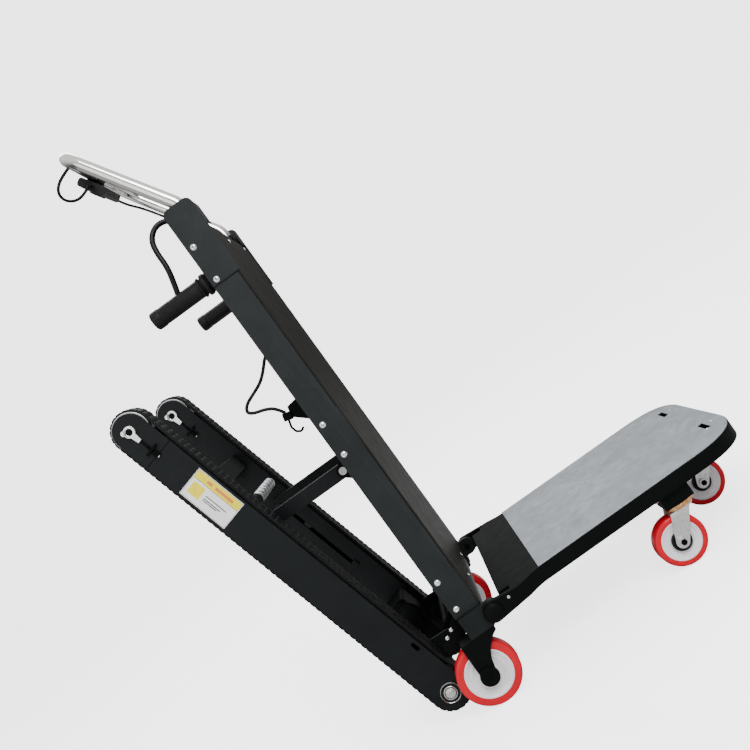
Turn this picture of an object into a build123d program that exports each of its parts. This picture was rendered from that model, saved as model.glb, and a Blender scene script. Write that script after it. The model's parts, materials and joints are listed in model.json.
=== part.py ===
from build123d import *
import math
import os

# Powered crawler hand truck.  Millimetres.  X runs forward from the main wheels to the tip of the
# load deck, Y runs across, Z runs up the mast.  Parts are drawn with X = 0 at the main wheels and
# are moved by frame_shift on saving, so that the saved origin is under the middle of the machine.

# Main wheels
wheel_radius = 62.5
wheel_width = 30
wheel_y = 205
wheel_bore = 8
tyre_depth = 15
running_gap = 0.05

# Mast
mast_rear = 7
mast_front = 64
mast_half = 215
rail_bottom = 180
rail_top = 1046
rail_depth = 40
rail_wall = 3
cover_wall = 2
cover_return = 3
cover_top = 1044
seam_gap = 1
seam_stretches = ((263, 540), (631, 938))
cheek_rear = 7
cheek_front = 68
cheek_bottom = 938
cheek_top = 1101
cheek_wall = 3
cheek_flange_half = 165
side_screw_x = 22
rail_screw_heights = (196, 257, 552, 619)
cheek_screw_heights = (947, 1018)

# Push handle
handle_radius = 12.5
handle_half = 190
handle_leg_x = 44
handle_knee_z = 1102
handle_corner_x = -87
handle_corner_z = 1307
handle_tilt = math.degrees(math.atan2(handle_leg_x - handle_corner_x, handle_corner_z - handle_knee_z))
control_y = 10
control_width = 90
control_rear = -33
control_bottom = -45
control_top = 15

# Hand grips
grip_z = 955
grip_radius = 17.5
grip_stub_radius = 11
grip_rear = -125

# Foot blocks and the hinge of the load deck
foot_bottom = 136
foot_inner = 176
foot_outer = 228
deck_pivot_x = 76
deck_pivot_z = 160
deck_pin_radius = 6
deck_lug_radius = 20
deck_arm_radius = 20

# Load deck
deck_floor = 146
deck_top = 177
deck_plate_wall = 2
deck_panel_wall = 3
deck_rim_wall = 5
deck_rear = 100
deck_arm_half = 240
deck_arm_x = 130
deck_waist_x = 190
deck_half = 222
deck_shoulder_x = 540
deck_shoulder_half = 219
deck_tip = 652
deck_tip_half = 105
strap_slot_x = 612
strap_slot_y = 113
strap_slot_width = 11
strap_slot_length = 48

# Casters: swivel axis x and y, wheels trail towards the mast
caster_places = {"near": (473, -180), "far": (473, 180), "front": (606, 0)}
caster_radius = 50
caster_width = 30
caster_trail = 37
caster_bore = 6
caster_crown_top = 105
caster_race_top = 115

# Crawler tracks, drawn upright in their own frame with the drive shaft at the origin
drive_x = -86.5
drive_z = 59.5
idler_x = -287
idler_z = 818.6
track_length = math.hypot(idler_x - drive_x, idler_z - drive_z)
track_angle = math.degrees(math.atan2(drive_x - idler_x, idler_z - drive_z))
plate_half = 35
plate_wall = 4
plate_inner_y = 122
plate_outer_y = 176
belt_inner_y = 131
belt_outer_y = 171
belt_radius = 42
pulley_radius = 36
flange_radius = 39
end_cover_length = 68
track_pivot_x = -33
track_pivot_z = 128
track_pivot_radius = 9
drive_shaft_radius = 10
idler_axle_radius = 8
adjuster_depth = 7
adjuster_rod_radius = 2
cross_tube_s = 602
tie_shaft_forward = 23
tie_shaft_s = 518

# Strut between the mast and the tracks
strut_pivot_x = -14
strut_pivot_z = 517
strut_height = 30
strut_arm_inner = 92
strut_arm_outer = 106
strut_pin_radius = 8
strut_slide_s = 470
slot_half = 4

frame_shift = -(deck_tip + idler_x - belt_radius) / 2


def block(x0, x1, y0, y1, z0, z1):
    """A box between two corners."""
    return Pos((x0 + x1) / 2, (y0 + y1) / 2, (z0 + z1) / 2) * Box(x1 - x0, y1 - y0, z1 - z0)


def rod_y(x, z, radius, y0, y1):
    """A round bar across the machine."""
    return Pos(x, (y0 + y1) / 2, z) * Rot(90, 0, 0) * Cylinder(radius, y1 - y0)


def rod_x(y, z, radius, x0, x1):
    """A round bar along the machine."""
    return Pos((x0 + x1) / 2, y, z) * Rot(0, 90, 0) * Cylinder(radius, x1 - x0)


def rod_z(x, y, radius, z0, z1):
    """An upright round bar."""
    return Pos(x, y, (z0 + z1) / 2) * Cylinder(radius, z1 - z0)


def side_plate(outline, y0, y1):
    """A plate whose outline is drawn with x forward and y up, from y0 to y1 across the machine."""
    return Pos(0, y1, 0) * Rot(90, 0, 0) * extrude(outline, y1 - y0)


def far_copy(shape):
    """The same piece on the other side."""
    return mirror(shape, Plane.XZ)


def both_sides(shape):
    """The near piece and the far piece as two solids."""
    return Compound([*shape.solids(), *far_copy(shape).solids()])


def group(*shapes):
    """Separate solids in one file."""
    return Compound([solid for shape in shapes for solid in shape.solids()])


def dome(x, z, radius, height, y_face):
    """A domed screw head or cap on the near side, standing out from y_face towards -Y."""
    sphere_radius = (radius ** 2 + height ** 2) / (2 * height)
    half_radius = radius / 2
    half_height = math.sqrt(sphere_radius ** 2 - half_radius ** 2) - sphere_radius + height
    crown = ThreePointArc((radius, 0), (half_radius, half_height), (0, height))
    profile = make_face([Line((0, 0), (radius, 0)), crown, Line((0, height), (0, 0))])
    return Pos(x, y_face, z) * Rot(180, 0, 0) * revolve(profile, Axis.Y)


def cord_tube(points, diameter):
    """A cord as straight runs joined by the largest tangent arcs that the runs allow."""
    places = [Vector(*point) for point in points]
    radii = []
    for before, corner, after in zip(places, places[1:], places[2:]):
        first = corner - before
        second = after - corner
        turn = math.radians(first.get_angle(second))
        radii.append(0.45 * min(first.length, second.length) / math.tan(turn / 2))
    path = FilletPolyline(*points, radius=radii)
    section = Plane(origin=path @ 0, z_dir=path % 0) * Circle(diameter / 2)
    tube = sweep(section, path)
    straight_volume = math.pi * diameter ** 2 / 4 * path.length
    print("cord", round(path.length, 1), "mm, volume ratio", round(tube.volume / straight_volume, 4))
    print("   bend radii", [round(radius, 1) for radius in radii])
    return tube


def save(name, shape):
    """Write one named piece in the machine's frame."""
    export_step(Pos(frame_shift, 0, 0) * shape, f"parts/{name}.step")


# ---------------------------------------------------------------- mast

def side_rail():
    """Channel rail with a stepped front corner that the front cover's return sits on."""
    inner = mast_half - rail_depth
    web_inner = mast_half - cover_wall - rail_wall
    front = mast_front - cover_wall
    rail = block(mast_rear, front, -mast_half, -inner, rail_bottom, rail_top)
    rail -= block(mast_rear + rail_wall, front - rail_wall, -web_inner, -inner, rail_bottom, rail_top)
    step_x = mast_front - cover_return
    rail -= block(step_x, front, -mast_half, -mast_half + cover_wall, rail_bottom, rail_top)
    for low, high in seam_stretches:
        rail -= block(step_x - seam_gap, step_x, -mast_half, -mast_half + cover_wall, low, high)
    return rail


def front_cover():
    """Shallow folded sheet over the whole front of the mast."""
    cover = block(mast_front - cover_return, mast_front, -mast_half, mast_half, rail_bottom, cover_top)
    half = mast_half - cover_wall
    back = mast_front - cover_wall
    return cover - block(mast_front - cover_return, back, -half, half, rail_bottom, cover_top)


def rear_panel():
    half = mast_half - rail_depth - 0.5
    return block(mast_rear, mast_rear + cover_wall, -half, half, 240, 1040)


def top_cap():
    """Sheet across the top of the mast, with holes for the handle's legs."""
    half = mast_half - cover_wall
    cap = block(mast_rear, mast_front - cover_wall, -half, half, rail_top, rail_top + rail_wall)
    for side in (-1, 1):
        cap -= rod_z(handle_leg_x, side * handle_half, handle_radius, rail_top, rail_top + rail_wall)
    return cap


def cheek_plate():
    width = cheek_front - cheek_rear
    outline = Pos((cheek_rear + cheek_front) / 2, (cheek_bottom + cheek_top) / 2) * Rectangle(
        width, cheek_top - cheek_bottom)
    outline = fillet(outline.vertices().sort_by(Axis.Y)[-2:], 14)
    cheek = side_plate(outline, -mast_half - cheek_wall, -mast_half)
    flange = block(cheek_front - cheek_wall, cheek_front, -mast_half - cheek_wall, -cheek_flange_half,
                   rail_top, cheek_top - 14)
    return cheek + flange


def mast_crossbars():
    """Foot, lower, strut and grip level cross tubes inside the mast."""
    half = mast_half - cover_wall - rail_wall
    front = mast_front - cover_wall - rail_wall - 1
    rear = mast_rear + rail_wall + 1
    bars = [block(rear, front, -foot_inner, foot_inner, 142, 176)]
    for low, high in ((190, 220), (502, 532), (940, 970)):
        bars.append(block(rear, front, -half, half, low, high))
    return group(*bars)


def mast_screws():
    """Button head screws on the sides, and small ones on the front cover."""
    heads = []
    for height in rail_screw_heights:
        heads.append(dome(side_screw_x, height, 6, 3, -mast_half))
    for height in cheek_screw_heights:
        heads.append(dome(side_screw_x, height, 6, 3, -mast_half - cheek_wall))
    heads = [*heads, *[far_copy(head) for head in heads]]
    turn_to_front = Rot(0, 0, 90)
    for y, z in ((75, 192), (-75, 192), (0, 1030), (180, 1030), (-180, 1030)):
        heads.append(Pos(mast_front, y, z) * turn_to_front * dome(0, 0, 4, 1.6, 0))
    return group(*heads)


def foot_block():
    """Square foot under each rail, with the lug that carries the deck's hinge."""
    foot = block(11, mast_front, -foot_outer, -foot_inner, foot_bottom, rail_bottom)
    lug = make_hull(
        (Pos(deck_pivot_x, deck_pivot_z) * Circle(deck_lug_radius)).edges()
        + (Pos(mast_front - 10, 158.5) * Rectangle(16, 35)).edges())
    foot += side_plate(lug, -foot_outer, -foot_outer + 14)
    return foot - rod_y(deck_pivot_x, deck_pivot_z, deck_pin_radius + running_gap, -240, -170)


def wheel_fork():
    """Inverted U of bent plate that holds a main wheel, with its axle bolt."""
    arch = ThreePointArc((60, 128), (31, 104), (17, wheel_radius))
    edges = [arch, Line((17, wheel_radius), (-15, wheel_radius)), Line((-15, wheel_radius), (-14, foot_bottom)),
             Line((-14, foot_bottom), (60, foot_bottom)), Line((60, foot_bottom), (60, 128))]
    leg = make_face(edges) + Pos(0, wheel_radius) * Circle(17)
    fork = side_plate(leg, -foot_outer, -foot_outer + 6)
    fork += side_plate(leg, -wheel_y + 17, -wheel_y + 23)
    fork += block(-14, 60, -foot_outer, -wheel_y + 23, foot_bottom - 6, foot_bottom)
    return fork - rod_y(0, wheel_radius, wheel_bore, -240, -170)


def wheel_axle():
    """Axle bolt with its round end cap."""
    axle = rod_y(0, wheel_radius, wheel_bore, -foot_outer, -wheel_y + 23)
    cap = rod_y(0, wheel_radius, 19, -foot_outer - 3, -foot_outer)
    nut = rod_y(0, wheel_radius, 5, -foot_outer - 6, -foot_outer - 3)
    return axle + cap + nut


def main_wheel():
    """Hub with recessed faces and the tyre round it."""
    half = wheel_width / 2
    hub_radius = wheel_radius - tyre_depth
    hub = rod_y(0, wheel_radius, hub_radius, -wheel_y - half + 1, -wheel_y + half - 1)
    for face, step in ((-wheel_y - half + 1, 4), (-wheel_y + half - 1, -4)):
        recess = rod_y(0, wheel_radius, hub_radius - 6, min(face, face + step), max(face, face + step))
        boss = rod_y(0, wheel_radius, 17, min(face, face + step), max(face, face + step))
        hub -= recess - boss
    hub -= rod_y(0, wheel_radius, wheel_bore + running_gap, -240, -170)
    tyre = rod_y(0, wheel_radius, wheel_radius, -wheel_y - half, -wheel_y + half)
    rim_edges = tyre.edges().filter_by(GeomType.CIRCLE)
    tyre = fillet(rim_edges, 5) - rod_y(0, wheel_radius, hub_radius, -wheel_y - half, -wheel_y + half)
    return hub, tyre


# ---------------------------------------------------------------- handle and grips

on_handle = Pos(handle_corner_x, 0, handle_corner_z) * Rot(0, -handle_tilt, 0)


def push_handle():
    """Bent stainless tube: two legs, a knee above the mast, and the push bar across the top."""
    start_z = 985
    points = [(handle_leg_x, -handle_half, start_z), (handle_leg_x, -handle_half, handle_knee_z),
              (handle_corner_x, -handle_half, handle_corner_z), (handle_corner_x, handle_half, handle_corner_z),
              (handle_leg_x, handle_half, handle_knee_z), (handle_leg_x, handle_half, start_z)]
    path = FilletPolyline(*points, radius=[50, 48, 48, 50])
    section = Plane(origin=path @ 0, z_dir=path % 0) * Circle(handle_radius)
    return sweep(section, path)


def control_box():
    """Flat box behind the push bar, with its clamp round the bar."""
    half = control_width / 2
    body = block(control_rear, -14, control_y - half, control_y + half, control_bottom, control_top)
    body = fillet(body.edges().filter_by(Axis.Y), 6)
    body -= block(control_rear - 1, control_rear + 5, control_y - 14.4, control_y + 14.4, -27.4, -2.6)
    body += rod_y(0, 0, 17, control_y - 12, control_y + 12)
    return on_handle * (body - rod_y(0, 0, handle_radius, -100, 100))


def rocker_switch():
    """Spring return rocker that is pressed into its bezel."""
    key = block(control_rear - 3, control_rear + 1.5, control_y - 14, control_y + 14, -27, -3)
    return on_handle * key


def grip_stub():
    """Steel tube that carries a hand grip, welded to the rear of the rail."""
    stub = rod_x(-handle_half, grip_z, grip_stub_radius, grip_rear + 6, mast_rear)
    return stub + rod_x(-handle_half, grip_z, 20, mast_rear - 6, mast_rear)


def hand_grip():
    """Rubber sleeve with a double flange at the mast and an end band."""
    grip = rod_x(-handle_half, grip_z, grip_radius, grip_rear, mast_rear - 6)
    grip += rod_x(-handle_half, grip_z, 22, mast_rear - 10, mast_rear - 6)
    grip += rod_x(-handle_half, grip_z, 20, mast_rear - 18, mast_rear - 14)
    grip += rod_x(-handle_half, grip_z, 17, grip_rear + 6, grip_rear + 20)
    return grip - rod_x(-handle_half, grip_z, grip_stub_radius, grip_rear + 6, mast_rear)


# ---------------------------------------------------------------- cords

handle_loop_route = [(-99.6, -120, 1304), (-118, -116, 1300), (-136, -109, 1294), (-148, -99, 1285),
                     (-150, -87, 1274), (-142, -75, 1266), (-128, -65, 1264), (-109, -57, 1272),
                     (-98.7, -49, 1281.7), (-98.7, -35, 1281.7)]
handle_cable_route = [(-98.7, 55, 1281.7), (-98.7, 82, 1281.7), (-99, 112, 1280), (-97, 140, 1276),
                      (-90, 166, 1268), (-74, 183, 1252), (-52, 189, 1220), (-31, 190, 1187),
                      (-8, 190, 1154), (10, 188, 1122), (20, 184, 1090), (22, 181, 1049)]
upper_cable_route = [(26, -160, 1049), (24, -162, 1074), (8, -168, 1098), (-18, -176, 1102),
                     (-40, -183, 1084), (-45, -187, 1056), (-44, -190, 1026), (-50, -190, 998),
                     (-58, -190, 971)]
lower_cable_route = [(7, -100, 797), (-8, -100, 790), (-26, -99, 770), (-46, -98, 753), (-72, -97, 743),
                     (-94, -97, 734), (-103, -98, 720), (-90, -99, 711), (-68, -100, 705),
                     (-50, -100, 694), (-40, -100, 676)]


def plug_bracket():
    """Gusset on the back of the mast with the socket that the lower cord plugs into."""
    gusset = make_face(Polyline((mast_rear, 690), (mast_rear, 630), (0, 632), (-34, 662), (-30, 684),
                                (mast_rear, 690)))
    bracket = side_plate(gusset, -103, -97)
    socket = Pos(-40, -100, 668) * Rot(0, 15, 0) * Box(18, 18, 16)
    return bracket + socket


def bracket_hook():
    """Thin wire hook below the plug."""
    points = [(-43, -100, 660), (-47, -100, 646), (-44, -100, 634), (-35, -100, 628), (-27, -100, 633)]
    path = FilletPolyline(*points, radius=6)
    section = Plane(origin=path @ 0, z_dir=path % 0) * Circle(2.4)
    return sweep(section, path)


# ---------------------------------------------------------------- inside the mast

def battery_pack():
    return fillet(block(18, 54, -135, 135, 228, 470).edges().filter_by(Axis.Z), 4)


def motor_controller():
    case = block(22, 52, -80, 80, 560, 700)
    for fin in range(9):
        y = -72 + fin * 18
        case += block(16, 22, y - 2, y + 2, 566, 694)
    return case


# ---------------------------------------------------------------- tracks

on_track = Pos(drive_x, 0, drive_z) * Rot(0, -track_angle, 0)


def track_point(x, z):
    """A point of the machine in the track's own upright frame, as (forward, along)."""
    angle = math.radians(track_angle)
    dx = x - drive_x
    dz = z - drive_z
    forward = dx * math.cos(angle) + dz * math.sin(angle)
    along = -dx * math.sin(angle) + dz * math.cos(angle)
    return forward, along


pivot_forward, pivot_along = track_point(track_pivot_x, track_pivot_z)
strut_reach = strut_pivot_x - (drive_x - strut_slide_s * math.sin(math.radians(track_angle)))
folded_gap = strut_pivot_x - (track_pivot_x - pivot_forward)
folded_drop = math.sqrt(strut_reach ** 2 - folded_gap ** 2)
folded_slide_s = strut_pivot_z - folded_drop - (track_pivot_z - pivot_along)


def capsule(radius, low, high):
    """Outline with two round ends on the track's centre line."""
    return make_hull((Pos(0, low) * Circle(radius)).edges() + (Pos(0, high) * Circle(radius)).edges())


def outer_plate():
    """Long outer side plate, up to the seam of its end cover."""
    outline = capsule(plate_half, 0, track_length)
    seam = track_length - end_cover_length
    outline -= Pos(0, seam + 100) * Rectangle(100, 200.6)
    outline -= Circle(18)
    outline -= Pos(25, 108) * SlotOverall(20, 8, rotation=90)
    return on_track * side_plate(outline, -plate_outer_y - plate_wall, -plate_outer_y)


def end_cover():
    """Separate top end of the outer plate, slotted for the idler axle."""
    seam = track_length - end_cover_length
    outline = capsule(plate_half, 0, track_length) & (Pos(0, seam + 100.3) * Rectangle(100, 200))
    outline -= Pos(0, track_length) * Circle(idler_axle_radius)
    return on_track * side_plate(outline, -plate_outer_y - plate_wall, -plate_outer_y)


def inner_plate():
    """Inner side plate with the pivot ear, the strut's slot and the slot's stop."""
    ear = make_hull((Pos(pivot_forward, pivot_along) * Circle(17)).edges()
                    + (Pos(0, 50) * Rectangle(40, 70)).edges())
    outline = capsule(plate_half, 0, track_length) + ear
    outline -= Circle(18)
    outline -= Pos(0, track_length) * Circle(idler_axle_radius)
    outline -= Pos(pivot_forward, pivot_along) * Circle(track_pivot_radius + running_gap)
    slot_low = folded_slide_s - 12
    slot_high = strut_slide_s + 12
    outline -= Pos(0, (slot_low + slot_high) / 2) * Rectangle(2 * slot_half, slot_high - slot_low)
    plate = side_plate(outline, -plate_inner_y - plate_wall, -plate_inner_y)
    plate += block(-8, 8, -plate_inner_y, -plate_inner_y + 6, slot_low - 16, slot_low)
    return on_track * plate


def belt():
    """Rubber belt at its outside size; the cleats stand within that size."""
    ring = capsule(belt_radius, 0, track_length) - capsule(pulley_radius + 0.3, 0, track_length)
    return on_track * side_plate(ring, -belt_outer_y, -belt_inner_y)


def belt_guides():
    """Slide bars that back the belt between its pulleys."""
    bars = []
    for forward in (-33, 33):
        bars.append(block(forward - 2.8, forward + 2.8, -belt_outer_y, -belt_inner_y, 55, track_length - 55))
    return both_sides(on_track * group(*bars))


def plate_spacers():
    """Round spacers that tie each outer plate to its inner plate."""
    rods = []
    for along in (190, 390, 600):
        rods.append(rod_y(0, along, 9, -plate_outer_y, -plate_inner_y - plate_wall))
    return both_sides(on_track * group(*rods))


def idler_pulley():
    """Flanged pulley at the top end of a track."""
    pulley = rod_y(0, track_length, pulley_radius, -belt_outer_y - 0.3, -belt_inner_y + 0.3)
    pulley += rod_y(0, track_length, flange_radius, -plate_outer_y + 0.6, -belt_outer_y - 0.3)
    pulley += rod_y(0, track_length, flange_radius, -belt_inner_y + 0.3, -plate_inner_y - plate_wall - 0.6)
    return on_track * (pulley - rod_y(0, track_length, idler_axle_radius + running_gap, -200, -100))


def idler_axle():
    low = -plate_outer_y - plate_wall - adjuster_depth
    return on_track * rod_y(0, track_length, idler_axle_radius, low, -plate_inner_y + adjuster_depth)


def drive_shaft():
    """Shaft through both tracks with a bolt head at each end."""
    shaft = rod_y(0, 0, drive_shaft_radius, -184, 184)
    for y0, y1 in ((-187, -184), (184, 187)):
        shaft += rod_y(0, 0, 6.5, y0, y1)
    return on_track * shaft


def drive_sprocket():
    """Toothed drive wheel; each tooth is a round rib."""
    wheel = rod_y(0, 0, pulley_radius - 3, -belt_outer_y, -belt_inner_y)
    wheel -= rod_y(0, 0, drive_shaft_radius, -200, -100)
    teeth = 16
    for tooth in range(teeth):
        angle = 2 * math.pi * tooth / teeth
        centre = pulley_radius - 3
        wheel += rod_y(centre * math.cos(angle), centre * math.sin(angle), 2.8, -belt_outer_y, -belt_inner_y)
    return on_track * wheel


def drive_bearings():
    """Bearing rings in all four side plates."""
    rings = []
    for y0, y1 in ((-184, -plate_outer_y), (-plate_inner_y - plate_wall, -plate_inner_y + 4)):
        ring = rod_y(0, 0, 18, y0, y1) - rod_y(0, 0, drive_shaft_radius + running_gap, y0, y1)
        rings.append(ring)
    groove = rod_y(0, 0, 15, -184, -183) - rod_y(0, 0, 13, -184, -183)
    rings[0] -= groove
    return both_sides(on_track * group(*rings))


def tension_adjusters():
    """Eye bolt, threaded rod and nut at each end of both idler axles."""
    sets = []
    for y0 in (-plate_outer_y - plate_wall - adjuster_depth, -plate_inner_y):
        y1 = y0 + adjuster_depth
        eye = rod_y(0, track_length, 12, y0, y1) - rod_y(0, track_length, idler_axle_radius, y0, y1)
        neck = block(-6, 6, y0, y1, track_length - 26, track_length - 11)
        stem = rod_z(0, (y0 + y1) / 2, adjuster_rod_radius, track_length - 72, track_length - 25)
        nut = block(-5, 5, y0, y1, track_length - 64, track_length - 56)
        sets.append(eye + neck + stem + nut)
    return both_sides(on_track * group(*sets))


def adjuster_brackets():
    """Bent lugs that the threaded rods pull against."""
    lugs = []
    for y0 in (-plate_outer_y - plate_wall - adjuster_depth, -plate_inner_y):
        y1 = y0 + adjuster_depth
        lug = block(-13, 13, y0, y1, track_length - 55.5, track_length - 51)
        lugs.append(lug - rod_z(0, (y0 + y1) / 2, adjuster_rod_radius, track_length - 72, track_length - 25))
    return both_sides(on_track * group(*lugs))


def pivot_shaft():
    """Shaft that both tracks swing on, held by two brackets on the mast's foot tube."""
    shaft = rod_y(track_pivot_x, track_pivot_z, track_pivot_radius, -172, 172)
    for y0, y1 in ((-172, -154), (154, 172)):
        shaft += rod_y(track_pivot_x, track_pivot_z, 15, y0, y1)
    return shaft


def pivot_bracket():
    arm = make_hull((Pos(track_pivot_x, track_pivot_z) * Circle(17)).edges()
                    + (Pos(mast_rear, 158) * Rectangle(8, 36)).edges())
    plate = side_plate(arm, -114, -106)
    return plate - rod_y(track_pivot_x, track_pivot_z, track_pivot_radius, -130, -90)


def pivot_cover():
    """Plate that closes the gap between the foot and the end of the pivot shaft."""
    arm = make_hull((Pos(track_pivot_x, track_pivot_z) * Circle(17)).edges()
                    + (Pos(mast_rear, 158) * Rectangle(8, 36)).edges())
    return side_plate(arm, -foot_inner, -172)


def cross_tube():
    """Square tube that ties the two tracks together near the top."""
    tube = block(-20, 20, -plate_inner_y, plate_inner_y, cross_tube_s - 20, cross_tube_s + 20)
    bore = block(-17, 17, -plate_inner_y, plate_inner_y, cross_tube_s - 17, cross_tube_s + 17)
    return on_track * (tube - bore)


def ribbed_shaft():
    """Lateral tie shaft with a ribbed sleeve and a plain black sleeve beside it."""
    shaft = rod_y(tie_shaft_forward, tie_shaft_s, 8, -plate_inner_y, plate_inner_y)
    ribbed = rod_y(tie_shaft_forward, tie_shaft_s, 11, -74, plate_inner_y - 6)
    for rib in range(7):
        y = -66 + rib * 28
        ribbed += rod_y(tie_shaft_forward, tie_shaft_s, 13.5, y - 8, y + 8)
    return on_track * (shaft + ribbed)


def shaft_sleeve():
    sleeve = rod_y(tie_shaft_forward, tie_shaft_s, 15, -plate_inner_y, -76)
    return on_track * (sleeve - rod_y(tie_shaft_forward, tie_shaft_s, 8, -plate_inner_y, -76))


def gearbox():
    """Reduction gearbox on the drive shaft."""
    case = block(-24, 32, 24, 100, -24, 142)
    case = fillet(case.edges().filter_by(Axis.Y), 8)
    return on_track * (case - rod_y(0, 0, drive_shaft_radius + running_gap, 20, 110))


def drive_motor():
    """Motor body with its end cap, flanged to the gearbox."""
    motor = rod_y(4, 104, 32, -70, 18)
    motor += rod_y(4, 104, 36, 18, 24)
    motor += rod_y(4, 104, 28, -84, -70)
    return on_track * motor


def motor_mount():
    """Plates that hold the gearbox to the far inner plate and the motor to the near one."""
    far_plate = block(-20, 28, 100, plate_inner_y, 60, 130)
    near_plate = block(-20, 28, -plate_inner_y, -84, 84, 124)
    return on_track * group(far_plate, near_plate)


# ---------------------------------------------------------------- strut

def strut_arm():
    """One arm of the strut; its ends are round about the two pins."""
    slide_x = strut_pivot_x - strut_reach
    ends = [(Pos(x, strut_pivot_z) * Circle(strut_height / 2)).edges() for x in (strut_pivot_x, slide_x)]
    arm = side_plate(make_hull(ends[0] + ends[1]), -strut_arm_outer, -strut_arm_inner)
    for x in (strut_pivot_x, slide_x):
        arm -= rod_y(x, strut_pivot_z, strut_pin_radius, -strut_arm_outer, -strut_arm_inner)
    return arm


def strut_pins():
    """Hinge pin at the mast end and cross shaft at the track end."""
    slide_x = strut_pivot_x - strut_reach
    return group(rod_y(strut_pivot_x, strut_pivot_z, strut_pin_radius, -112, 112),
                 rod_y(slide_x, strut_pivot_z, strut_pin_radius, -113.6, 113.6))


def strut_mount():
    """Plate on the back of the mast with the ears that carry the strut."""
    mount = block(mast_rear - 4, mast_rear, -116, 116, 466, 566)
    ear = make_hull((Pos(strut_pivot_x, strut_pivot_z) * Circle(13)).edges()
                    + (Pos(mast_rear - 3, strut_pivot_z) * Rectangle(4, 60)).edges())
    ear_plate = side_plate(ear, -strut_arm_outer - 6.4, -strut_arm_outer - 0.4)
    ear_plate -= rod_y(strut_pivot_x, strut_pivot_z, strut_pin_radius + running_gap, -120, -100)
    return mount + ear_plate + far_copy(ear_plate)


def slider_block():
    """Block that runs in the slot of an inner plate, facing the strut's cross shaft."""
    shoe = block(-12, 12, -plate_inner_y + 0.3, -114, strut_slide_s - 9, strut_slide_s + 9)
    tongue = block(-3.6, 3.6, -plate_inner_y - plate_wall, -plate_inner_y + 0.3, strut_slide_s - 8,
                   strut_slide_s + 8)
    return on_track * (shoe + tongue)


# ---------------------------------------------------------------- load deck

def deck_outline(rear, inset):
    """Deck shape from above: wide at the hinge arms, waisted to the deck, then round to the tip."""
    arm = deck_arm_half - inset
    half = deck_half - inset
    shoulder = deck_shoulder_half - inset
    tip = deck_tip - inset
    edges = [Line((tip, deck_tip_half), (tip, -deck_tip_half)), Line((rear, arm), (rear, -arm))]
    for side in (-1, 1):
        taper = (deck_shoulder_x - deck_waist_x, side * (shoulder - half))
        edges.append(Line((rear, side * arm), (deck_arm_x, side * arm)))
        edges.append(Spline([(deck_arm_x, side * arm), (deck_waist_x, side * half)], tangents=[(1, 0), taper]))
        edges.append(Line((deck_waist_x, side * half), (deck_shoulder_x, side * shoulder)))
        edges.append(Spline([(deck_shoulder_x, side * shoulder), (tip, side * deck_tip_half)],
                            tangents=[taper, (0, -side)]))
    return make_face(Wire(edges).edges())


def strap_slots():
    """Cutters for the two strap slots near the tip."""
    cutters = []
    height = deck_top - deck_floor
    for side in (-1, 1):
        slot = Box(strap_slot_width, strap_slot_length, height)
        cutters.append(Pos(strap_slot_x, side * strap_slot_y, deck_floor + height / 2) * slot)
    return cutters


def deck_frame():
    """Black tray of the deck: top panel, rim all round and the two hinge arms."""
    panel_top = deck_top - deck_plate_wall
    body = Pos(0, 0, deck_floor) * extrude(deck_outline(deck_rear, 0), panel_top - deck_floor)
    hollow = deck_outline(deck_rear + deck_rim_wall, deck_rim_wall)
    body -= Pos(0, 0, deck_floor) * extrude(hollow, panel_top - deck_panel_wall - deck_floor)
    inside = deck_arm_half - deck_rim_wall
    notch_front = deck_pivot_x + 48
    for side in (-1, 1):
        low, high = sorted((side * 208, side * inside))
        body -= block(deck_rear - 1, notch_front, low, high, deck_floor - 1, deck_top)
        low, high = sorted((side * 203, side * 208))
        body += block(deck_rear, notch_front + 5, low, high, deck_floor, panel_top - deck_panel_wall)
        low, high = sorted((side * 203, side * inside))
        body += block(notch_front, notch_front + 5, low, high, deck_floor, panel_top - deck_panel_wall)
    arm = make_hull((Pos(deck_pivot_x, deck_pivot_z) * Circle(deck_arm_radius)).edges()
                    + (Pos(deck_rear + 20, (deck_floor + panel_top) / 2) * Rectangle(
                        30, panel_top - deck_floor)).edges())
    for side in (-1, 1):
        low, high = sorted((side * (foot_outer + 0.5), side * deck_arm_half))
        body += side_plate(arm, low, high)
    body -= rod_y(deck_pivot_x, deck_pivot_z, deck_pin_radius, -300, 300)
    for cutter in strap_slots():
        body -= cutter
    return body


def deck_plate():
    """Galvanised sheet on top of the tray."""
    outline = deck_outline(deck_rear, 1.5)
    outline -= Pos(deck_waist_x - 100, 0) * Rectangle(200, 2 * deck_arm_half + 10)
    sheet = Pos(0, 0, deck_top - deck_plate_wall) * extrude(outline, deck_plate_wall)
    for cutter in strap_slots():
        sheet -= cutter
    return sheet


def deck_crossbars():
    """Bars under the panel that the casters bolt to."""
    top = deck_top - deck_plate_wall - deck_panel_wall
    return group(block(200, 226, -212, 212, deck_floor, top), block(452, 484, -210, 210, deck_floor, top),
                 block(585, 600, -160, 160, deck_floor, top))


def deck_pin():
    """Hinge pin of the deck with its domed cap."""
    pin = rod_y(deck_pivot_x, deck_pivot_z, deck_pin_radius, -deck_arm_half, -foot_outer + 14)
    return pin + dome(deck_pivot_x, deck_pivot_z, 19, 9, -deck_arm_half)


# ---------------------------------------------------------------- casters

def caster_plate(x, y):
    """Black top plate bolted under the deck, on a black spacer block."""
    plate = block(x - 42, x + 42, y - 34, y + 34, deck_floor - 3, deck_floor)
    return plate + block(x - 30, x + 30, y - 26, y + 26, caster_race_top, deck_floor - 3)


def caster_race(x, y):
    """Pressed race with the kingpin."""
    low = caster_crown_top + 0.4
    return rod_z(x, y, 30, low + 1.6, caster_race_top) + rod_z(x, y, 22, low, low + 1.6)


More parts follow.
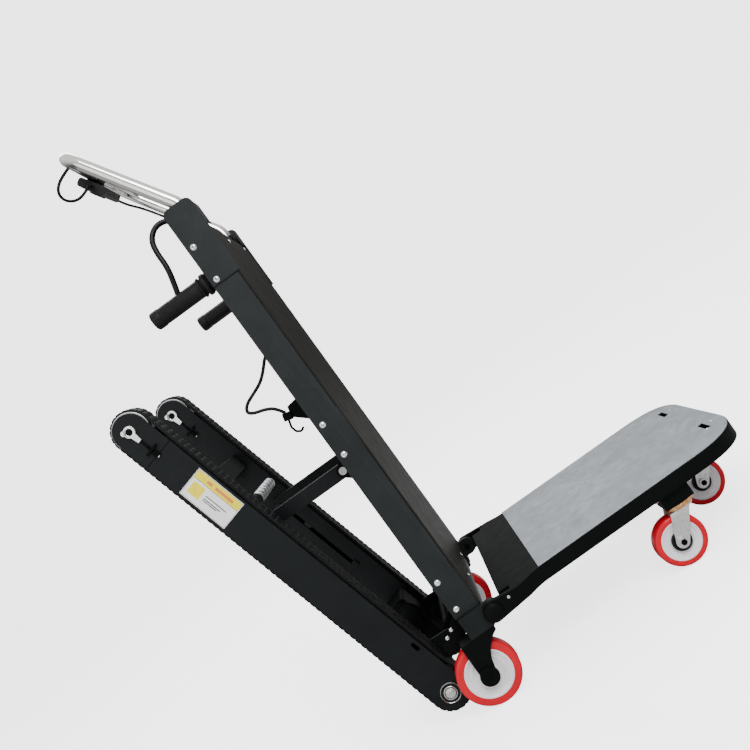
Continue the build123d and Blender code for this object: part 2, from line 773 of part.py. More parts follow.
def caster_fork(x, y):
    """Pressed fork below the race, with the axle bolt of its wheel."""
    axle_x = x - caster_trail
    low = caster_crown_top - 3.5
    crown = rod_z(x, y, 25, low, caster_crown_top)
    crown += block(axle_x + 8, x, y - 19.5, y + 19.5, low, caster_crown_top)
    leg = make_hull((Pos(axle_x, caster_radius) * Circle(13)).edges()
                    + (Pos(x - 8, caster_crown_top - 1.75) * Rectangle(40, 3.5)).edges())
    fork = crown
    for y0 in (y - 20, y + 17):
        fork += side_plate(leg, y0, y0 + 3)
    fork -= rod_y(axle_x, caster_radius, caster_bore, y - 30, y + 30)
    bolt = rod_y(axle_x, caster_radius, caster_bore, y - 20, y + 20)
    for y0 in (y - 25, y + 20):
        bolt += rod_y(axle_x, caster_radius, 9, y0, y0 + 5)
    return group(fork, bolt)


def caster_wheel(x, y):
    axle_x = x - caster_trail
    half = caster_width / 2
    core_radius = caster_radius - 11
    hub = rod_y(axle_x, caster_radius, core_radius, y - half + 1, y + half - 1)
    hub += rod_y(axle_x, caster_radius, 20, y - half - 1.5, y + half + 1.5)
    hub -= rod_y(axle_x, caster_radius, caster_bore + running_gap, y - 30, y + 30)
    tyre = rod_y(axle_x, caster_radius, caster_radius, y - half, y + half)
    tyre = fillet(tyre.edges().filter_by(GeomType.CIRCLE), 4)
    tyre -= rod_y(axle_x, caster_radius, core_radius, y - half, y + half)
    return hub, tyre


# ---------------------------------------------------------------- write every piece

os.makedirs("parts", exist_ok=True)

near_hub, near_tyre = main_wheel()
pieces = {
    "side_rails": both_sides(side_rail()),
    "front_cover": front_cover(),
    "rear_panel": rear_panel(),
    "top_cap": top_cap(),
    "cheek_plates": both_sides(cheek_plate()),
    "mast_crossbars": mast_crossbars(),
    "mast_screws": mast_screws(),
    "foot_blocks": both_sides(foot_block()),
    "wheel_forks": both_sides(group(wheel_fork(), wheel_axle())),
    "main_hub_near": near_hub,
    "main_hub_far": far_copy(near_hub),
    "main_tyre_near": near_tyre,
    "main_tyre_far": far_copy(near_tyre),
    "push_handle": push_handle(),
    "control_box": control_box(),
    "rocker_switch": rocker_switch(),
    "grip_stubs": both_sides(grip_stub()),
    "hand_grips": both_sides(hand_grip()),
    "handle_loop": cord_tube(handle_loop_route, 6),
    "handle_cable": cord_tube(handle_cable_route, 6),
    "upper_cable": cord_tube(upper_cable_route, 11),
    "lower_cable": cord_tube(lower_cable_route, 7),
    "plug_bracket": group(plug_bracket(), bracket_hook()),
    "battery_pack": battery_pack(),
    "motor_controller": motor_controller(),
    "track_pivot": group(pivot_shaft(), both_sides(pivot_bracket()), both_sides(pivot_cover())),
    "strut_mount": strut_mount(),
    "strut_arms": both_sides(strut_arm()),
    "strut_pins": strut_pins(),
    "slider_blocks": both_sides(slider_block()),
    "track_outer_plates": both_sides(outer_plate()),
    "track_end_covers": both_sides(end_cover()),
    "track_inner_plates": both_sides(inner_plate()),
    "track_belts": both_sides(belt()),
    "belt_guides": group(belt_guides(), plate_spacers()),
    "idler_near": idler_pulley(),
    "idler_far": far_copy(idler_pulley()),
    "drive_shaft": group(drive_shaft(), both_sides(drive_sprocket())),
    "drive_bearings": drive_bearings(),
    "tension_adjusters": group(tension_adjusters(), both_sides(idler_axle())),
    "adjuster_brackets": adjuster_brackets(),
    "cross_tube": cross_tube(),
    "ribbed_shaft": group(ribbed_shaft(), shaft_sleeve()),
    "gearbox": group(gearbox(), motor_mount()),
    "drive_motor": drive_motor(),
    "deck_frame": deck_frame(),
    "deck_plate": deck_plate(),
    "deck_crossbars": deck_crossbars(),
    "deck_pins": both_sides(deck_pin()),
    "caster_plates": group(*[caster_plate(x, y) for x, y in caster_places.values()]),
    "caster_races": group(*[caster_race(x, y) for x, y in caster_places.values()]),
}
for place, (x, y) in caster_places.items():
    hub, tyre = caster_wheel(x, y)
    pieces[f"caster_fork_{place}"] = caster_fork(x, y)
    pieces[f"caster_hub_{place}"] = hub
    pieces[f"caster_tyre_{place}"] = tyre

for name, shape in pieces.items():
    save(name, shape)
print(len(pieces), "pieces, frame shift", frame_shift)
print("track angle", track_angle, "strut reach", strut_reach, "folded slide", folded_slide_s)
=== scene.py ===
import json
import math

import bmesh
import bpy
from mathutils import Matrix, Vector


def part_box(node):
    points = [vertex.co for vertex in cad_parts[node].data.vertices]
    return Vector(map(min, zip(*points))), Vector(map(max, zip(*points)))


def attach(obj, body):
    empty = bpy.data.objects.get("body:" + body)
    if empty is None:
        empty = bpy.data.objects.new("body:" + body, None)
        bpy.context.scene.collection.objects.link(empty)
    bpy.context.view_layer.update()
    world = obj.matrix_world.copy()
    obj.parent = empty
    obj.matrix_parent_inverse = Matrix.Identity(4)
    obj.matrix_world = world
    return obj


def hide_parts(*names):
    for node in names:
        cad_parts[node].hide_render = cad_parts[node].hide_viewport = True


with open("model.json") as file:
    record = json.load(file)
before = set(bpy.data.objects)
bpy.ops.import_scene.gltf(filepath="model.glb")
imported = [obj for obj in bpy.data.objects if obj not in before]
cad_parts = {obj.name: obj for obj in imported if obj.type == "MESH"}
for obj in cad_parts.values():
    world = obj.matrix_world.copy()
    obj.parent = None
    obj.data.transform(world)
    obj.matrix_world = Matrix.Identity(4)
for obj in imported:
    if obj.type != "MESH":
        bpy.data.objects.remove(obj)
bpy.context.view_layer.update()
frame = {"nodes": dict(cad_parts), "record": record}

# Powered crawler hand truck.  Metres.  X runs forward to the tip of the load deck, Y runs across to
# the far side and Z runs up the mast.  place() counts X from the main axle, as the drawings do.

nodes = frame["nodes"]


def middle(node_name):
    """Middle of a part of the frame."""
    low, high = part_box(node_name)
    return (low + high) / 2


def place(x, y, z):
    """A point counted from the main axle, on the floor."""
    return Vector((axle_x + x, y, z))


axle_x = middle("main_hub_near").x

# Mast
mast_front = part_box("front_cover")[1].x - axle_x
mast_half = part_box("side_rails")[1].y
cheek_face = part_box("cheek_plates")[1].y

grip_y = 0.190

# Crawler tracks, drawn upright with the drive shaft at the origin
drive_place = middle("drive_shaft")
idler_place = middle("idler_near")
track_run = math.hypot(idler_place.x - drive_place.x, idler_place.z - drive_place.z)
track_lean = math.atan2(drive_place.x - idler_place.x, idler_place.z - drive_place.z)
on_track = Matrix.Translation((drive_place.x, 0, drive_place.z)) @ Matrix.Rotation(-track_lean, 4, "Y")
belt_middle_y = 0.151
belt_half_width = 0.020
belt_radius = 0.042
belt_back_radius = 0.0366
belt_body_radius = 0.0411
cleat_pitch = 0.0141
cleat_count = round((2 * track_run + 2 * math.pi * belt_body_radius) / cleat_pitch)
plate_face_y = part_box("track_outer_plates")[1].y
inner_plate_y = 0.122

# Wheels
main_wheel_radius = 0.0625
main_wheel_places = {side: middle(f"main_hub_{side}") for side in ("near", "far")}
caster_names = ("near", "far", "front")
caster_radius = 0.050
caster_trail = 0.037
tyre_width = 0.030
hub_width = 0.028

# Load deck
deck_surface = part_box("deck_plate")[1].z
deck_hinge = middle("deck_pins")


# ---------------------------------------------------------------- node helpers

def add_node(tree, kind, **settings):
    """Add a node and set its own settings."""
    node = tree.nodes.new(kind)
    for name, value in settings.items():
        setattr(node, name, value)
    return node


def set_inputs(node, **values):
    """Set a node's unlinked inputs by their names, with underscores for spaces."""
    for name, value in values.items():
        node.inputs[name.replace("_", " ")].default_value = value
    return node


def colour(values):
    return (*values, 1.0)


class Finish:
    """A material with one Principled shader whose patterns are laid out on Object coordinates."""

    def __init__(self, name, roughness, metallic=0.0, **shader_values):
        self.material = bpy.data.materials.new(name)
        self.material.use_nodes = True
        self.tree = self.material.node_tree
        self.tree.nodes.clear()
        self.shader = add_node(self.tree, "ShaderNodeBsdfPrincipled")
        set_inputs(self.shader, Roughness=roughness, Metallic=metallic, **shader_values)
        output = add_node(self.tree, "ShaderNodeOutputMaterial")
        self.tree.links.new(self.shader.outputs["BSDF"], output.inputs["Surface"])
        self.coordinates = add_node(self.tree, "ShaderNodeTexCoord")

    def mapping(self, scale=(1, 1, 1), turn=(0, 0, 0)):
        """Object coordinates, stretched and turned."""
        node = add_node(self.tree, "ShaderNodeMapping")
        set_inputs(node, Scale=scale, Rotation=turn)
        self.tree.links.new(self.coordinates.outputs["Object"], node.inputs["Vector"])
        return node.outputs["Vector"]

    def noise(self, size, detail=3.0, stretch=(1, 1, 1), turn=(0, 0, 0)):
        """Cloudy pattern whose lumps are about size metres across."""
        node = add_node(self.tree, "ShaderNodeTexNoise")
        set_inputs(node, Scale=1 / size, Detail=detail, Roughness=0.6)
        self.tree.links.new(self.mapping(stretch, turn), node.inputs["Vector"])
        return node.outputs["Fac"]

    def cells(self, size, feature="F1"):
        """Patchwork of cells about size metres across."""
        node = add_node(self.tree, "ShaderNodeTexVoronoi", feature=feature)
        set_inputs(node, Scale=1 / size)
        self.tree.links.new(self.mapping(), node.inputs["Vector"])
        return node

    def ramp(self, factor, *stops):
        """Colour ramp with (position, colour) stops."""
        node = add_node(self.tree, "ShaderNodeValToRGB")
        elements = node.color_ramp.elements
        while len(elements) < len(stops):
            elements.new(0.5)
        for element, (position, value) in zip(elements, stops):
            element.position = position
            element.color = colour(value)
        self.tree.links.new(factor, node.inputs["Fac"])
        return node.outputs["Color"]

    def level(self, factor, low, high, start=0.0, end=1.0):
        """The factor from start to end, turned to a number from low to high."""
        node = add_node(self.tree, "ShaderNodeMapRange")
        set_inputs(node, From_Min=start, From_Max=end, To_Min=low, To_Max=high)
        self.tree.links.new(factor, node.inputs["Value"])
        return node.outputs["Result"]

    def blend(self, factor, first, second, how="MIX"):
        """Mix two colours, each a link or three numbers."""
        node = add_node(self.tree, "ShaderNodeMix", data_type="RGBA", blend_type=how)
        for socket, value in (("Factor", factor), ("A", first), ("B", second)):
            target = next(s for s in node.inputs if s.name == socket and s.enabled)
            if isinstance(value, bpy.types.NodeSocket):
                self.tree.links.new(value, target)
            elif socket == "Factor":
                target.default_value = value
            else:
                target.default_value = colour(value)
        return next(s for s in node.outputs if s.enabled)

    def paint(self, link):
        self.tree.links.new(link, self.shader.inputs["Base Color"])

    def rough(self, link):
        self.tree.links.new(link, self.shader.inputs["Roughness"])

    def bump(self, height, depth, strength=1.0):
        """Raise the surface by a height pattern, over any bump that is already there."""
        node = add_node(self.tree, "ShaderNodeBump")
        set_inputs(node, Strength=strength, Distance=depth)
        self.tree.links.new(height, node.inputs["Height"])
        earlier = self.shader.inputs["Normal"]
        if earlier.is_linked:
            self.tree.links.new(earlier.links[0].from_socket, node.inputs["Normal"])
        self.tree.links.new(node.outputs["Normal"], earlier)


# ---------------------------------------------------------------- finishes

def powder_coat(name, tone, sheen, gloss=0.16, grain=0.0011, streak=(1, 1, 0.12)):
    """Satin powder coat: soft cloudy tone, orange peel, dust and fine rub marks along the part."""
    finish = Finish(name, sheen, Specular_IOR_Level=gloss)
    light = tuple(value * 1.25 for value in tone)
    dark = tuple(value * 0.80 for value in tone)
    clouds = finish.ramp(finish.noise(0.09, 4), (0.32, dark), (0.70, light))
    dust = finish.level(finish.noise(0.016, 6), 0.0, 0.30, 0.54, 0.86)
    dusted = finish.blend(dust, clouds, tuple(value * 1.5 + 0.002 for value in tone))
    rubs = finish.level(finish.noise(0.0018, 2, streak), 0.0, 0.22, 0.62, 0.82)
    finish.paint(finish.blend(rubs, dusted, tuple(value * 2.0 + 0.003 for value in tone)))
    finish.rough(finish.level(finish.noise(0.03, 5), sheen - 0.04, sheen + 0.06, 0.3, 0.7))
    finish.bump(finish.noise(grain, 1), 0.00006, 0.40)
    finish.bump(finish.noise(0.05, 2), 0.0003, 0.10)
    return finish.material


def polished_tube(name, tone, roughness):
    """Polished stainless tube with hairline polishing marks and faint smears."""
    finish = Finish(name, roughness, metallic=1.0)
    light = tuple(min(1.0, value * 1.08) for value in tone)
    hairlines = finish.noise(0.0009, 2, (1, 0.05, 0.12))
    finish.paint(finish.ramp(hairlines, (0.30, tuple(value * 0.86 for value in tone)), (0.7, light)))
    finish.rough(finish.level(finish.noise(0.02, 4), roughness - 0.04, roughness + 0.10, 0.35, 0.7))
    finish.bump(hairlines, 0.00003, 0.25)
    return finish.material


def plated(name, tone, roughness, spangle, contrast=0.12, tint=None):
    """Zinc plating or galvanising: crystal patches, smudges and small scratches."""
    finish = Finish(name, roughness, metallic=0.92)
    second = tint or tuple(min(1.0, value * (1 + contrast)) for value in tone)
    first = tuple(value * (1 - contrast) for value in tone)
    patches = finish.cells(spangle)
    patch_tone = finish.ramp(patches.outputs["Color"], (0.2, first), (0.8, second))
    smudge = finish.level(finish.noise(0.035, 5), 0.0, 0.5, 0.45, 0.75)
    smudged = finish.blend(smudge, patch_tone, tuple(value * 0.78 for value in tone))
    scratch = finish.level(finish.noise(0.0012, 3, (0.1, 1, 1), (0, 0, 0.5)), 0.0, 0.4, 0.64, 0.75)
    finish.paint(finish.blend(scratch, smudged, tuple(min(1.0, value * 1.25) for value in tone)))
    finish.rough(finish.level(patches.outputs["Distance"], roughness - 0.06, roughness + 0.12, 0.0, 0.8))
    finish.bump(finish.noise(0.0016, 3), 0.00004, 0.3)
    return finish.material


def deck_sheet():
    """Galvanised deck sheet, dull, with scuffs and dark marks from loads."""
    finish = Finish("galvanised_sheet", 0.46, metallic=0.45, Specular_IOR_Level=0.3)
    patches = finish.cells(0.014)
    spangle = finish.ramp(patches.outputs["Color"], (0.1, (0.30, 0.325, 0.345)), (0.9, (0.38, 0.405, 0.425)))
    cloud = finish.level(finish.noise(0.16, 4), 0.0, 0.55, 0.35, 0.72)
    clouded = finish.blend(cloud, spangle, (0.24, 0.268, 0.285))
    scuff_line = finish.noise(0.010, 6, (0.35, 1, 1), (0, 0, 0.9))
    scuffs = finish.level(scuff_line, 0.0, 0.85, 0.655, 0.76)
    worn_patches = finish.level(finish.noise(0.09, 3), 0.0, 1.0, 0.47, 0.60)
    patchy = add_node(finish.tree, "ShaderNodeMath", operation="MULTIPLY")
    finish.tree.links.new(scuffs, patchy.inputs[0])
    finish.tree.links.new(worn_patches, patchy.inputs[1])
    scuffed = finish.blend(patchy.outputs["Value"], clouded, (0.06, 0.066, 0.07))
    bright_line = finish.noise(0.004, 4, (0.08, 1, 1), (0, 0, -0.45))
    bright = finish.level(bright_line, 0.0, 0.5, 0.66, 0.78)
    finish.paint(finish.blend(bright, scuffed, (0.50, 0.53, 0.55)))
    finish.rough(finish.level(finish.noise(0.05, 5), 0.33, 0.58, 0.3, 0.7))
    finish.bump(scuff_line, 0.0002, 0.12)
    finish.bump(finish.noise(0.002, 2), 0.00005, 0.3)
    return finish.material


def soft_rubber(name, tone, roughness, grain=0.0012):
    """Black rubber with a matt moulded grain, bloom and dust."""
    finish = Finish(name, roughness, Specular_IOR_Level=0.20)
    bloom = finish.ramp(finish.noise(0.02, 5), (0.35, tuple(value * 0.7 for value in tone)),
                        (0.75, tuple(value * 1.6 for value in tone)))
    dust = finish.level(finish.noise(0.006, 5), 0.0, 0.3, 0.55, 0.85)
    finish.paint(finish.blend(dust, bloom, (0.022, 0.022, 0.021)))
    finish.rough(finish.level(finish.noise(0.01, 4), roughness - 0.1, roughness + 0.1, 0.3, 0.7))
    finish.bump(finish.noise(grain, 2), 0.00012, 0.6)
    return finish.material


def moulded_plastic(name, tone, roughness, gloss, dirt=0.25, dirt_tone=(0.10, 0.09, 0.085)):
    """Moulded plastic with soft tone changes, faint flow marks and handling dirt."""
    finish = Finish(name, roughness, Specular_IOR_Level=0.25, Coat_Weight=gloss, Coat_Roughness=0.12)
    flow = finish.ramp(finish.noise(0.05, 3, (1, 3, 1)), (0.3, tuple(value * 0.88 for value in tone)),
                       (0.7, tuple(min(1.0, value * 1.06) for value in tone)))
    marks = finish.level(finish.noise(0.007, 6), 0.0, dirt, 0.58, 0.85)
    finish.paint(finish.blend(marks, flow, dirt_tone))
    finish.rough(finish.level(finish.noise(0.02, 4), roughness - 0.06, roughness + 0.1, 0.3, 0.7))
    finish.bump(finish.noise(0.0012, 2), 0.00005, 0.35)
    return finish.material


def printed_film(name, tone):
    """Printed label film with a faint wrinkle and soft wear."""
    finish = Finish(name, 0.34, Specular_IOR_Level=0.5)
    worn = finish.ramp(finish.noise(0.012, 4), (0.35, tuple(value * 0.9 for value in tone)), (0.65, tone))
    finish.paint(worn)
    finish.bump(finish.noise(0.02, 2), 0.0001, 0.2)
    return finish.material


finishes = {
    "frame_paint": powder_coat("frame_paint", (0.0135, 0.0160, 0.0165), 0.46, 0.20),
    "cover_paint": powder_coat("cover_paint", (0.0150, 0.0145, 0.0125), 0.50, 0.08),
    "foot_paint": powder_coat("foot_paint", (0.0075, 0.0100, 0.0100), 0.42),
    "track_paint": powder_coat("track_paint", (0.0058, 0.0074, 0.0080), 0.46, 0.16),
    "black_metal": powder_coat("black_metal", (0.0026, 0.0032, 0.0032), 0.52, 0.06),
    "stainless": polished_tube("stainless", (0.80, 0.79, 0.76), 0.12),
    "zinc_screws": plated("zinc_screws", (0.88, 0.88, 0.87), 0.16, 0.003),
    "zinc_plate": plated("zinc_plate", (0.74, 0.74, 0.73), 0.26, 0.007),
    "yellow_zinc": plated("yellow_zinc", (0.72, 0.34, 0.12), 0.24, 0.005, tint=(0.80, 0.50, 0.24)),
    "galvanised": deck_sheet(),
    "belt_rubber": soft_rubber("belt_rubber", (0.0050, 0.0055, 0.0060), 0.55),
    "grip_rubber": soft_rubber("grip_rubber", (0.0045, 0.0042, 0.0045), 0.50),
    "cable_jacket": soft_rubber("cable_jacket", (0.0040, 0.0040, 0.0042), 0.36, 0.0007),
    "wheel_red": moulded_plastic("wheel_red", (0.66, 0.0040, 0.0170), 0.34, 0.12, 0.15, (0.30, 0.004, 0.009)),
    "wheel_white": moulded_plastic("wheel_white", (0.95, 0.91, 0.96), 0.40, 0.2, 0.06, (0.6, 0.54, 0.6)),
    "black_plastic": moulded_plastic("black_plastic", (0.0045, 0.0045, 0.0050), 0.40, 0.05,
                                     0.2, (0.012, 0.012, 0.012)),
    "battery_case": moulded_plastic("battery_case", (0.01, 0.013, 0.025), 0.45, 0.1, 0.2, (0.02, 0.02, 0.02)),
    "cast_aluminium": plated("cast_aluminium", (0.62, 0.63, 0.64), 0.38, 0.004, 0.08),
}
label_white = printed_film("label_white", (0.97, 0.97, 0.96))
label_yellow = printed_film("label_yellow", (0.97, 0.80, 0.0))
label_ink = printed_film("label_ink", (0.02, 0.02, 0.02))
label_accent = printed_film("label_accent", (0.75, 0.25, 0.05))


# ---------------------------------------------------------------- mesh helpers

def add_block(mesh, low, high, matrix=Matrix()):
    """A block between two corners."""
    low, high = Vector(low), Vector(high)
    size = high - low
    transform = matrix @ Matrix.Translation((low + high) / 2) @ Matrix.Diagonal((*size, 1))
    bmesh.ops.create_cube(mesh, size=1, matrix=transform)


def add_turned(mesh, profile, centre, axis, segments=48, matrix=Matrix()):
    """A turned part: the profile is (radius, distance along the axis) points from a pole to a pole."""
    along = Vector(axis).normalized()
    across = along.orthogonal().normalized()
    upward = along.cross(across)
    rings = []
    for radius, distance in profile:
        spot = Vector(centre) + along * distance
        if radius == 0:
            rings.append([mesh.verts.new(matrix @ spot)])
            continue
        ring = []
        for step in range(segments):
            angle = 2 * math.pi * step / segments
            ring.append(mesh.verts.new(
                matrix @ (spot + radius * (across * math.cos(angle) + upward * math.sin(angle)))))
        rings.append(ring)
    for first, second in zip(rings, rings[1:]):
        for step in range(segments):
            corner = (step + 1) % segments
            face = [first[step % len(first)], first[corner % len(first)],
                    second[corner % len(second)], second[step % len(second)]]
            mesh.faces.new(list(dict.fromkeys(face)))


def add_ring(mesh, profile, centre, axis, segments=64, matrix=Matrix()):
    """A turned ring: the profile is a closed loop of (radius, distance along the axis) points."""
    along = Vector(axis).normalized()
    across = along.orthogonal().normalized()
    upward = along.cross(across)
    rows = []
    for step in range(segments):
        angle = 2 * math.pi * step / segments
        outward = across * math.cos(angle) + upward * math.sin(angle)
        rows.append([mesh.verts.new(matrix @ (Vector(centre) + outward * radius + along * distance))
                     for radius, distance in profile])
    for step in range(segments):
        here, following = rows[step], rows[(step + 1) % segments]
        for point in range(len(profile)):
            after = (point + 1) % len(profile)
            mesh.faces.new([here[point], following[point], following[after], here[after]])


def add_plate(mesh, outline, y0, y1, matrix=Matrix()):
    """A plate whose outline is (x, z) points, from y0 to y1."""
    front = [mesh.verts.new(matrix @ Vector((x, y0, z))) for x, z in outline]
    back = [mesh.verts.new(matrix @ Vector((x, y1, z))) for x, z in outline]
    mesh.faces.new(front)
    mesh.faces.new(list(reversed(back)))
    for point in range(len(outline)):
        after = (point + 1) % len(outline)
        mesh.faces.new([front[after], front[point], back[point], back[after]])


def arc(centre, radius, start, end, steps):
    """(x, z) points on an arc, angles in degrees."""
    points = []
    for step in range(steps + 1):
        angle = math.radians(start + (end - start) * step / steps)
        points.append((centre[0] + radius * math.cos(angle), centre[1] + radius * math.sin(angle)))
    return points


def object_from(mesh, name, smooth_angle=35):
    """An object at the origin from a bmesh, with outward normals and smooth shading."""
    bmesh.ops.recalc_face_normals(mesh, faces=mesh.faces)
    data = bpy.data.meshes.new(name)
    mesh.to_mesh(data)
    mesh.free()
    data.shade_smooth()
    data.set_sharp_from_angle(angle=math.radians(smooth_angle))
    piece = bpy.data.objects.new(name, data)
    bpy.context.scene.collection.objects.link(piece)
    return piece


def round_edges(piece, width, segments=2, limit=32):
    """Small rounding on every hard edge."""
    bevel = piece.modifiers.new("edge", "BEVEL")
    bevel.width = width
    bevel.segments = segments
    bevel.limit_method = "ANGLE"
    bevel.angle_limit = math.radians(limit)
    bevel.use_clamp_overlap = True
    bevel.harden_normals = True
    return piece


def hand_over(piece, body, slot_name, *replaced, material=None):
    """Give a finished piece its finish and its body, and hide the parts that it stands for."""
    if not piece.data.materials:
        piece.data.materials.append(material or finishes[slot_name])
    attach(piece, body)
    if replaced:
        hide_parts(*replaced)
    return piece


def dressed(node_name, piece_name, body, edge, smooth_angle=30):
    """A copy of a part of the frame with merged faces and rounded edges."""
    slot_name = slot_of[node_name]
    mesh = bmesh.new()
    mesh.from_mesh(nodes[node_name].data)
    bmesh.ops.remove_doubles(mesh, verts=mesh.verts, dist=0.00002)
    bmesh.ops.dissolve_limit(mesh, angle_limit=math.radians(0.5), verts=mesh.verts, edges=mesh.edges)
    piece = object_from(mesh, piece_name, smooth_angle)
    round_edges(piece, edge)
    return hand_over(piece, body, slot_name, node_name)


slot_of = {part["node"]: part["material_slot"] for part in frame["record"]["subparts"]}


# ---------------------------------------------------------------- geometry node trees

def new_tree(name, sockets):
    """A geometry tree with a Geometry input, the named inputs and a Geometry output."""
    tree = bpy.data.node_groups.new(name, "GeometryNodeTree")
    tree.interface.new_socket("Geometry", in_out="INPUT", socket_type="NodeSocketGeometry")
    for socket_name, kind in sockets:
        tree.interface.new_socket(socket_name, in_out="INPUT", socket_type=kind)
    tree.interface.new_socket("Geometry", in_out="OUTPUT", socket_type="NodeSocketGeometry")
    return tree, tree.nodes.new("NodeGroupInput"), tree.nodes.new("NodeGroupOutput")


def place_copies(tree, entry, end, points, turn):
    """Put the Part on every point, turned, then realise it and give it the Finish."""
    link = tree.links.new
    part = tree.nodes.new("GeometryNodeObjectInfo")
    copies = tree.nodes.new("GeometryNodeInstanceOnPoints")
    real = tree.nodes.new("GeometryNodeRealizeInstances")
    coat = tree.nodes.new("GeometryNodeSetMaterial")
    link(entry.outputs["Part"], part.inputs["Object"])
    link(points, copies.inputs["Points"])
    link(part.outputs["Geometry"], copies.inputs["Instance"])
    link(turn, copies.inputs["Rotation"])
    link(copies.outputs["Instances"], real.inputs["Geometry"])
    link(real.outputs["Geometry"], coat.inputs["Geometry"])
    link(entry.outputs["Finish"], coat.inputs["Material"])
    link(coat.outputs["Geometry"], end.inputs["Geometry"])


def path_tree():
    """Copies of a part along a path in the XZ plane, each turned to follow it."""
    tree, entry, end = new_tree("along_path", [
        ("Part", "NodeSocketObject"), ("Count", "NodeSocketInt"), ("Finish", "NodeSocketMaterial")])
    link = tree.links.new
    points = add_node(tree, "GeometryNodeCurveToPoints", mode="COUNT")
    follow = add_node(tree, "FunctionNodeAlignRotationToVector", axis="X", pivot_axis="Y")
    link(entry.outputs["Geometry"], points.inputs["Curve"])
    link(entry.outputs["Count"], points.inputs["Count"])
    link(points.outputs["Tangent"], follow.inputs["Vector"])
    place_copies(tree, entry, end, points.outputs["Points"], follow.outputs["Rotation"])
    return tree


def scatter_tree():
    """Copies of a part on every point of a mesh, all turned the same way."""
    tree, entry, end = new_tree("on_points", [
        ("Part", "NodeSocketObject"), ("Turn", "NodeSocketVector"), ("Finish", "NodeSocketMaterial")])
    turn = tree.nodes.new("FunctionNodeEulerToRotation")
    tree.links.new(entry.outputs["Turn"], turn.inputs["Euler"])
    place_copies(tree, entry, end, entry.outputs["Geometry"], turn.outputs["Rotation"])
    return tree


def row_tree():
    """A row of copies of a part: Count of them, Step apart, from First."""
    tree, entry, end = new_tree("in_row", [
        ("Part", "NodeSocketObject"), ("Count", "NodeSocketInt"), ("First", "NodeSocketVector"),
        ("Step", "NodeSocketVector"), ("Turn", "NodeSocketVector"), ("Finish", "NodeSocketMaterial")])
    link = tree.links.new
    row = add_node(tree, "GeometryNodeMeshLine", mode="OFFSET")
    turn = tree.nodes.new("FunctionNodeEulerToRotation")
    link(entry.outputs["Count"], row.inputs["Count"])
    link(entry.outputs["First"], row.inputs["Start Location"])
    link(entry.outputs["Step"], row.inputs["Offset"])
    link(entry.outputs["Turn"], turn.inputs["Euler"])
    place_copies(tree, entry, end, row.outputs["Mesh"], turn.outputs["Rotation"])
    return tree


trees = {"path": path_tree(), "points": scatter_tree(), "row": row_tree()}


def repeat(tree_name, base, part, finish, matrix=Matrix(), **inputs):
    """Run a tree on base data and return the plain mesh, moved by the matrix."""
    tree = trees[tree_name]
    sockets = {item.name: item.identifier for item in tree.interface.items_tree
               if item.item_type == "SOCKET" and item.in_out == "INPUT"}
    holder = bpy.data.objects.new("holder", base or bpy.data.meshes.new("empty"))
    bpy.context.scene.collection.objects.link(holder)
    modifier = holder.modifiers.new("repeat", "NODES")
    modifier.node_group = tree
    for socket_name, value in {"Part": part, "Finish": finish, **inputs}.items():
        modifier[sockets[socket_name]] = value
    bpy.context.view_layer.update()
    scene_state = bpy.context.evaluated_depsgraph_get()
    mesh = bpy.data.meshes.new_from_object(holder.evaluated_get(scene_state), depsgraph=scene_state)
    mesh.transform(matrix)
    holder.modifiers.remove(modifier)
    bpy.data.objects.remove(holder)
    return mesh


def template(build, name="part"):
    """A part to be repeated, made by a function that fills a bmesh."""
    mesh = bmesh.new()
    build(mesh)
    return object_from(mesh, name)


def joined(name, meshes, smooth_angle=35):
    """One object from several meshes that share a finish."""
    whole = bmesh.new()
    for mesh in meshes:
        whole.from_mesh(mesh)
    return object_from(whole, name, smooth_angle)


def point_mesh(points):
    data = bpy.data.meshes.new("points")
    data.from_pydata([tuple(point) for point in points], [], [])
    return data


def discard(*parts):
    for part in parts:
        bpy.data.objects.remove(part)


# ---------------------------------------------------------------- cords

def cord(name, route, diameter, replaced):
    """A cord that follows a route counted from the main axle."""
    curve = bpy.data.curves.new(name, "CURVE")
    curve.dimensions = "3D"
    curve.bevel_depth = diameter / 2
    curve.bevel_resolution = 6
    curve.use_fill_caps = True
    spline = curve.splines.new("NURBS")
    spline.points.add(len(route) - 1)
    for point, (x, y, z) in zip(spline.points, route):
        point.co = (*place(x, y, z), 1)
    spline.order_u = 3
    spline.use_endpoint_u = True
    spline.resolution_u = 12
    piece = bpy.data.objects.new(name, curve)
    bpy.context.scene.collection.objects.link(piece)
    hand_over(piece, "mast", "cable_jacket", replaced)
    return piece


cord("handle_loop_cord", [
    (-0.0996, -0.120, 1.304), (-0.118, -0.116, 1.300), (-0.136, -0.109, 1.294), (-0.148, -0.099, 1.285),
    (-0.150, -0.087, 1.274), (-0.142, -0.075, 1.266), (-0.128, -0.065, 1.264), (-0.109, -0.057, 1.272),
    (-0.0987, -0.049, 1.2817), (-0.0987, -0.035, 1.2817)], 0.006, "handle_loop")
cord("handle_wiring_cord", [
    (-0.0987, 0.055, 1.2817), (-0.0987, 0.082, 1.2817), (-0.099, 0.112, 1.280), (-0.097, 0.140, 1.276),
    (-0.090, 0.166, 1.268), (-0.074, 0.183, 1.252), (-0.052, 0.189, 1.220), (-0.031, 0.190, 1.187),
    (-0.008, 0.190, 1.154), (0.010, 0.188, 1.122), (0.020, 0.184, 1.090), (0.022, 0.181, 1.049)],
    0.006, "handle_cable")
cord("grip_cord", [
    (0.026, -0.160, 1.049), (0.024, -0.162, 1.074), (0.008, -0.168, 1.098), (-0.018, -0.176, 1.102),
    (-0.040, -0.183, 1.084), (-0.045, -0.187, 1.056), (-0.044, -0.190, 1.026), (-0.050, -0.190, 0.998),
    (-0.058, -0.190, 0.971)], 0.011, "upper_cable")
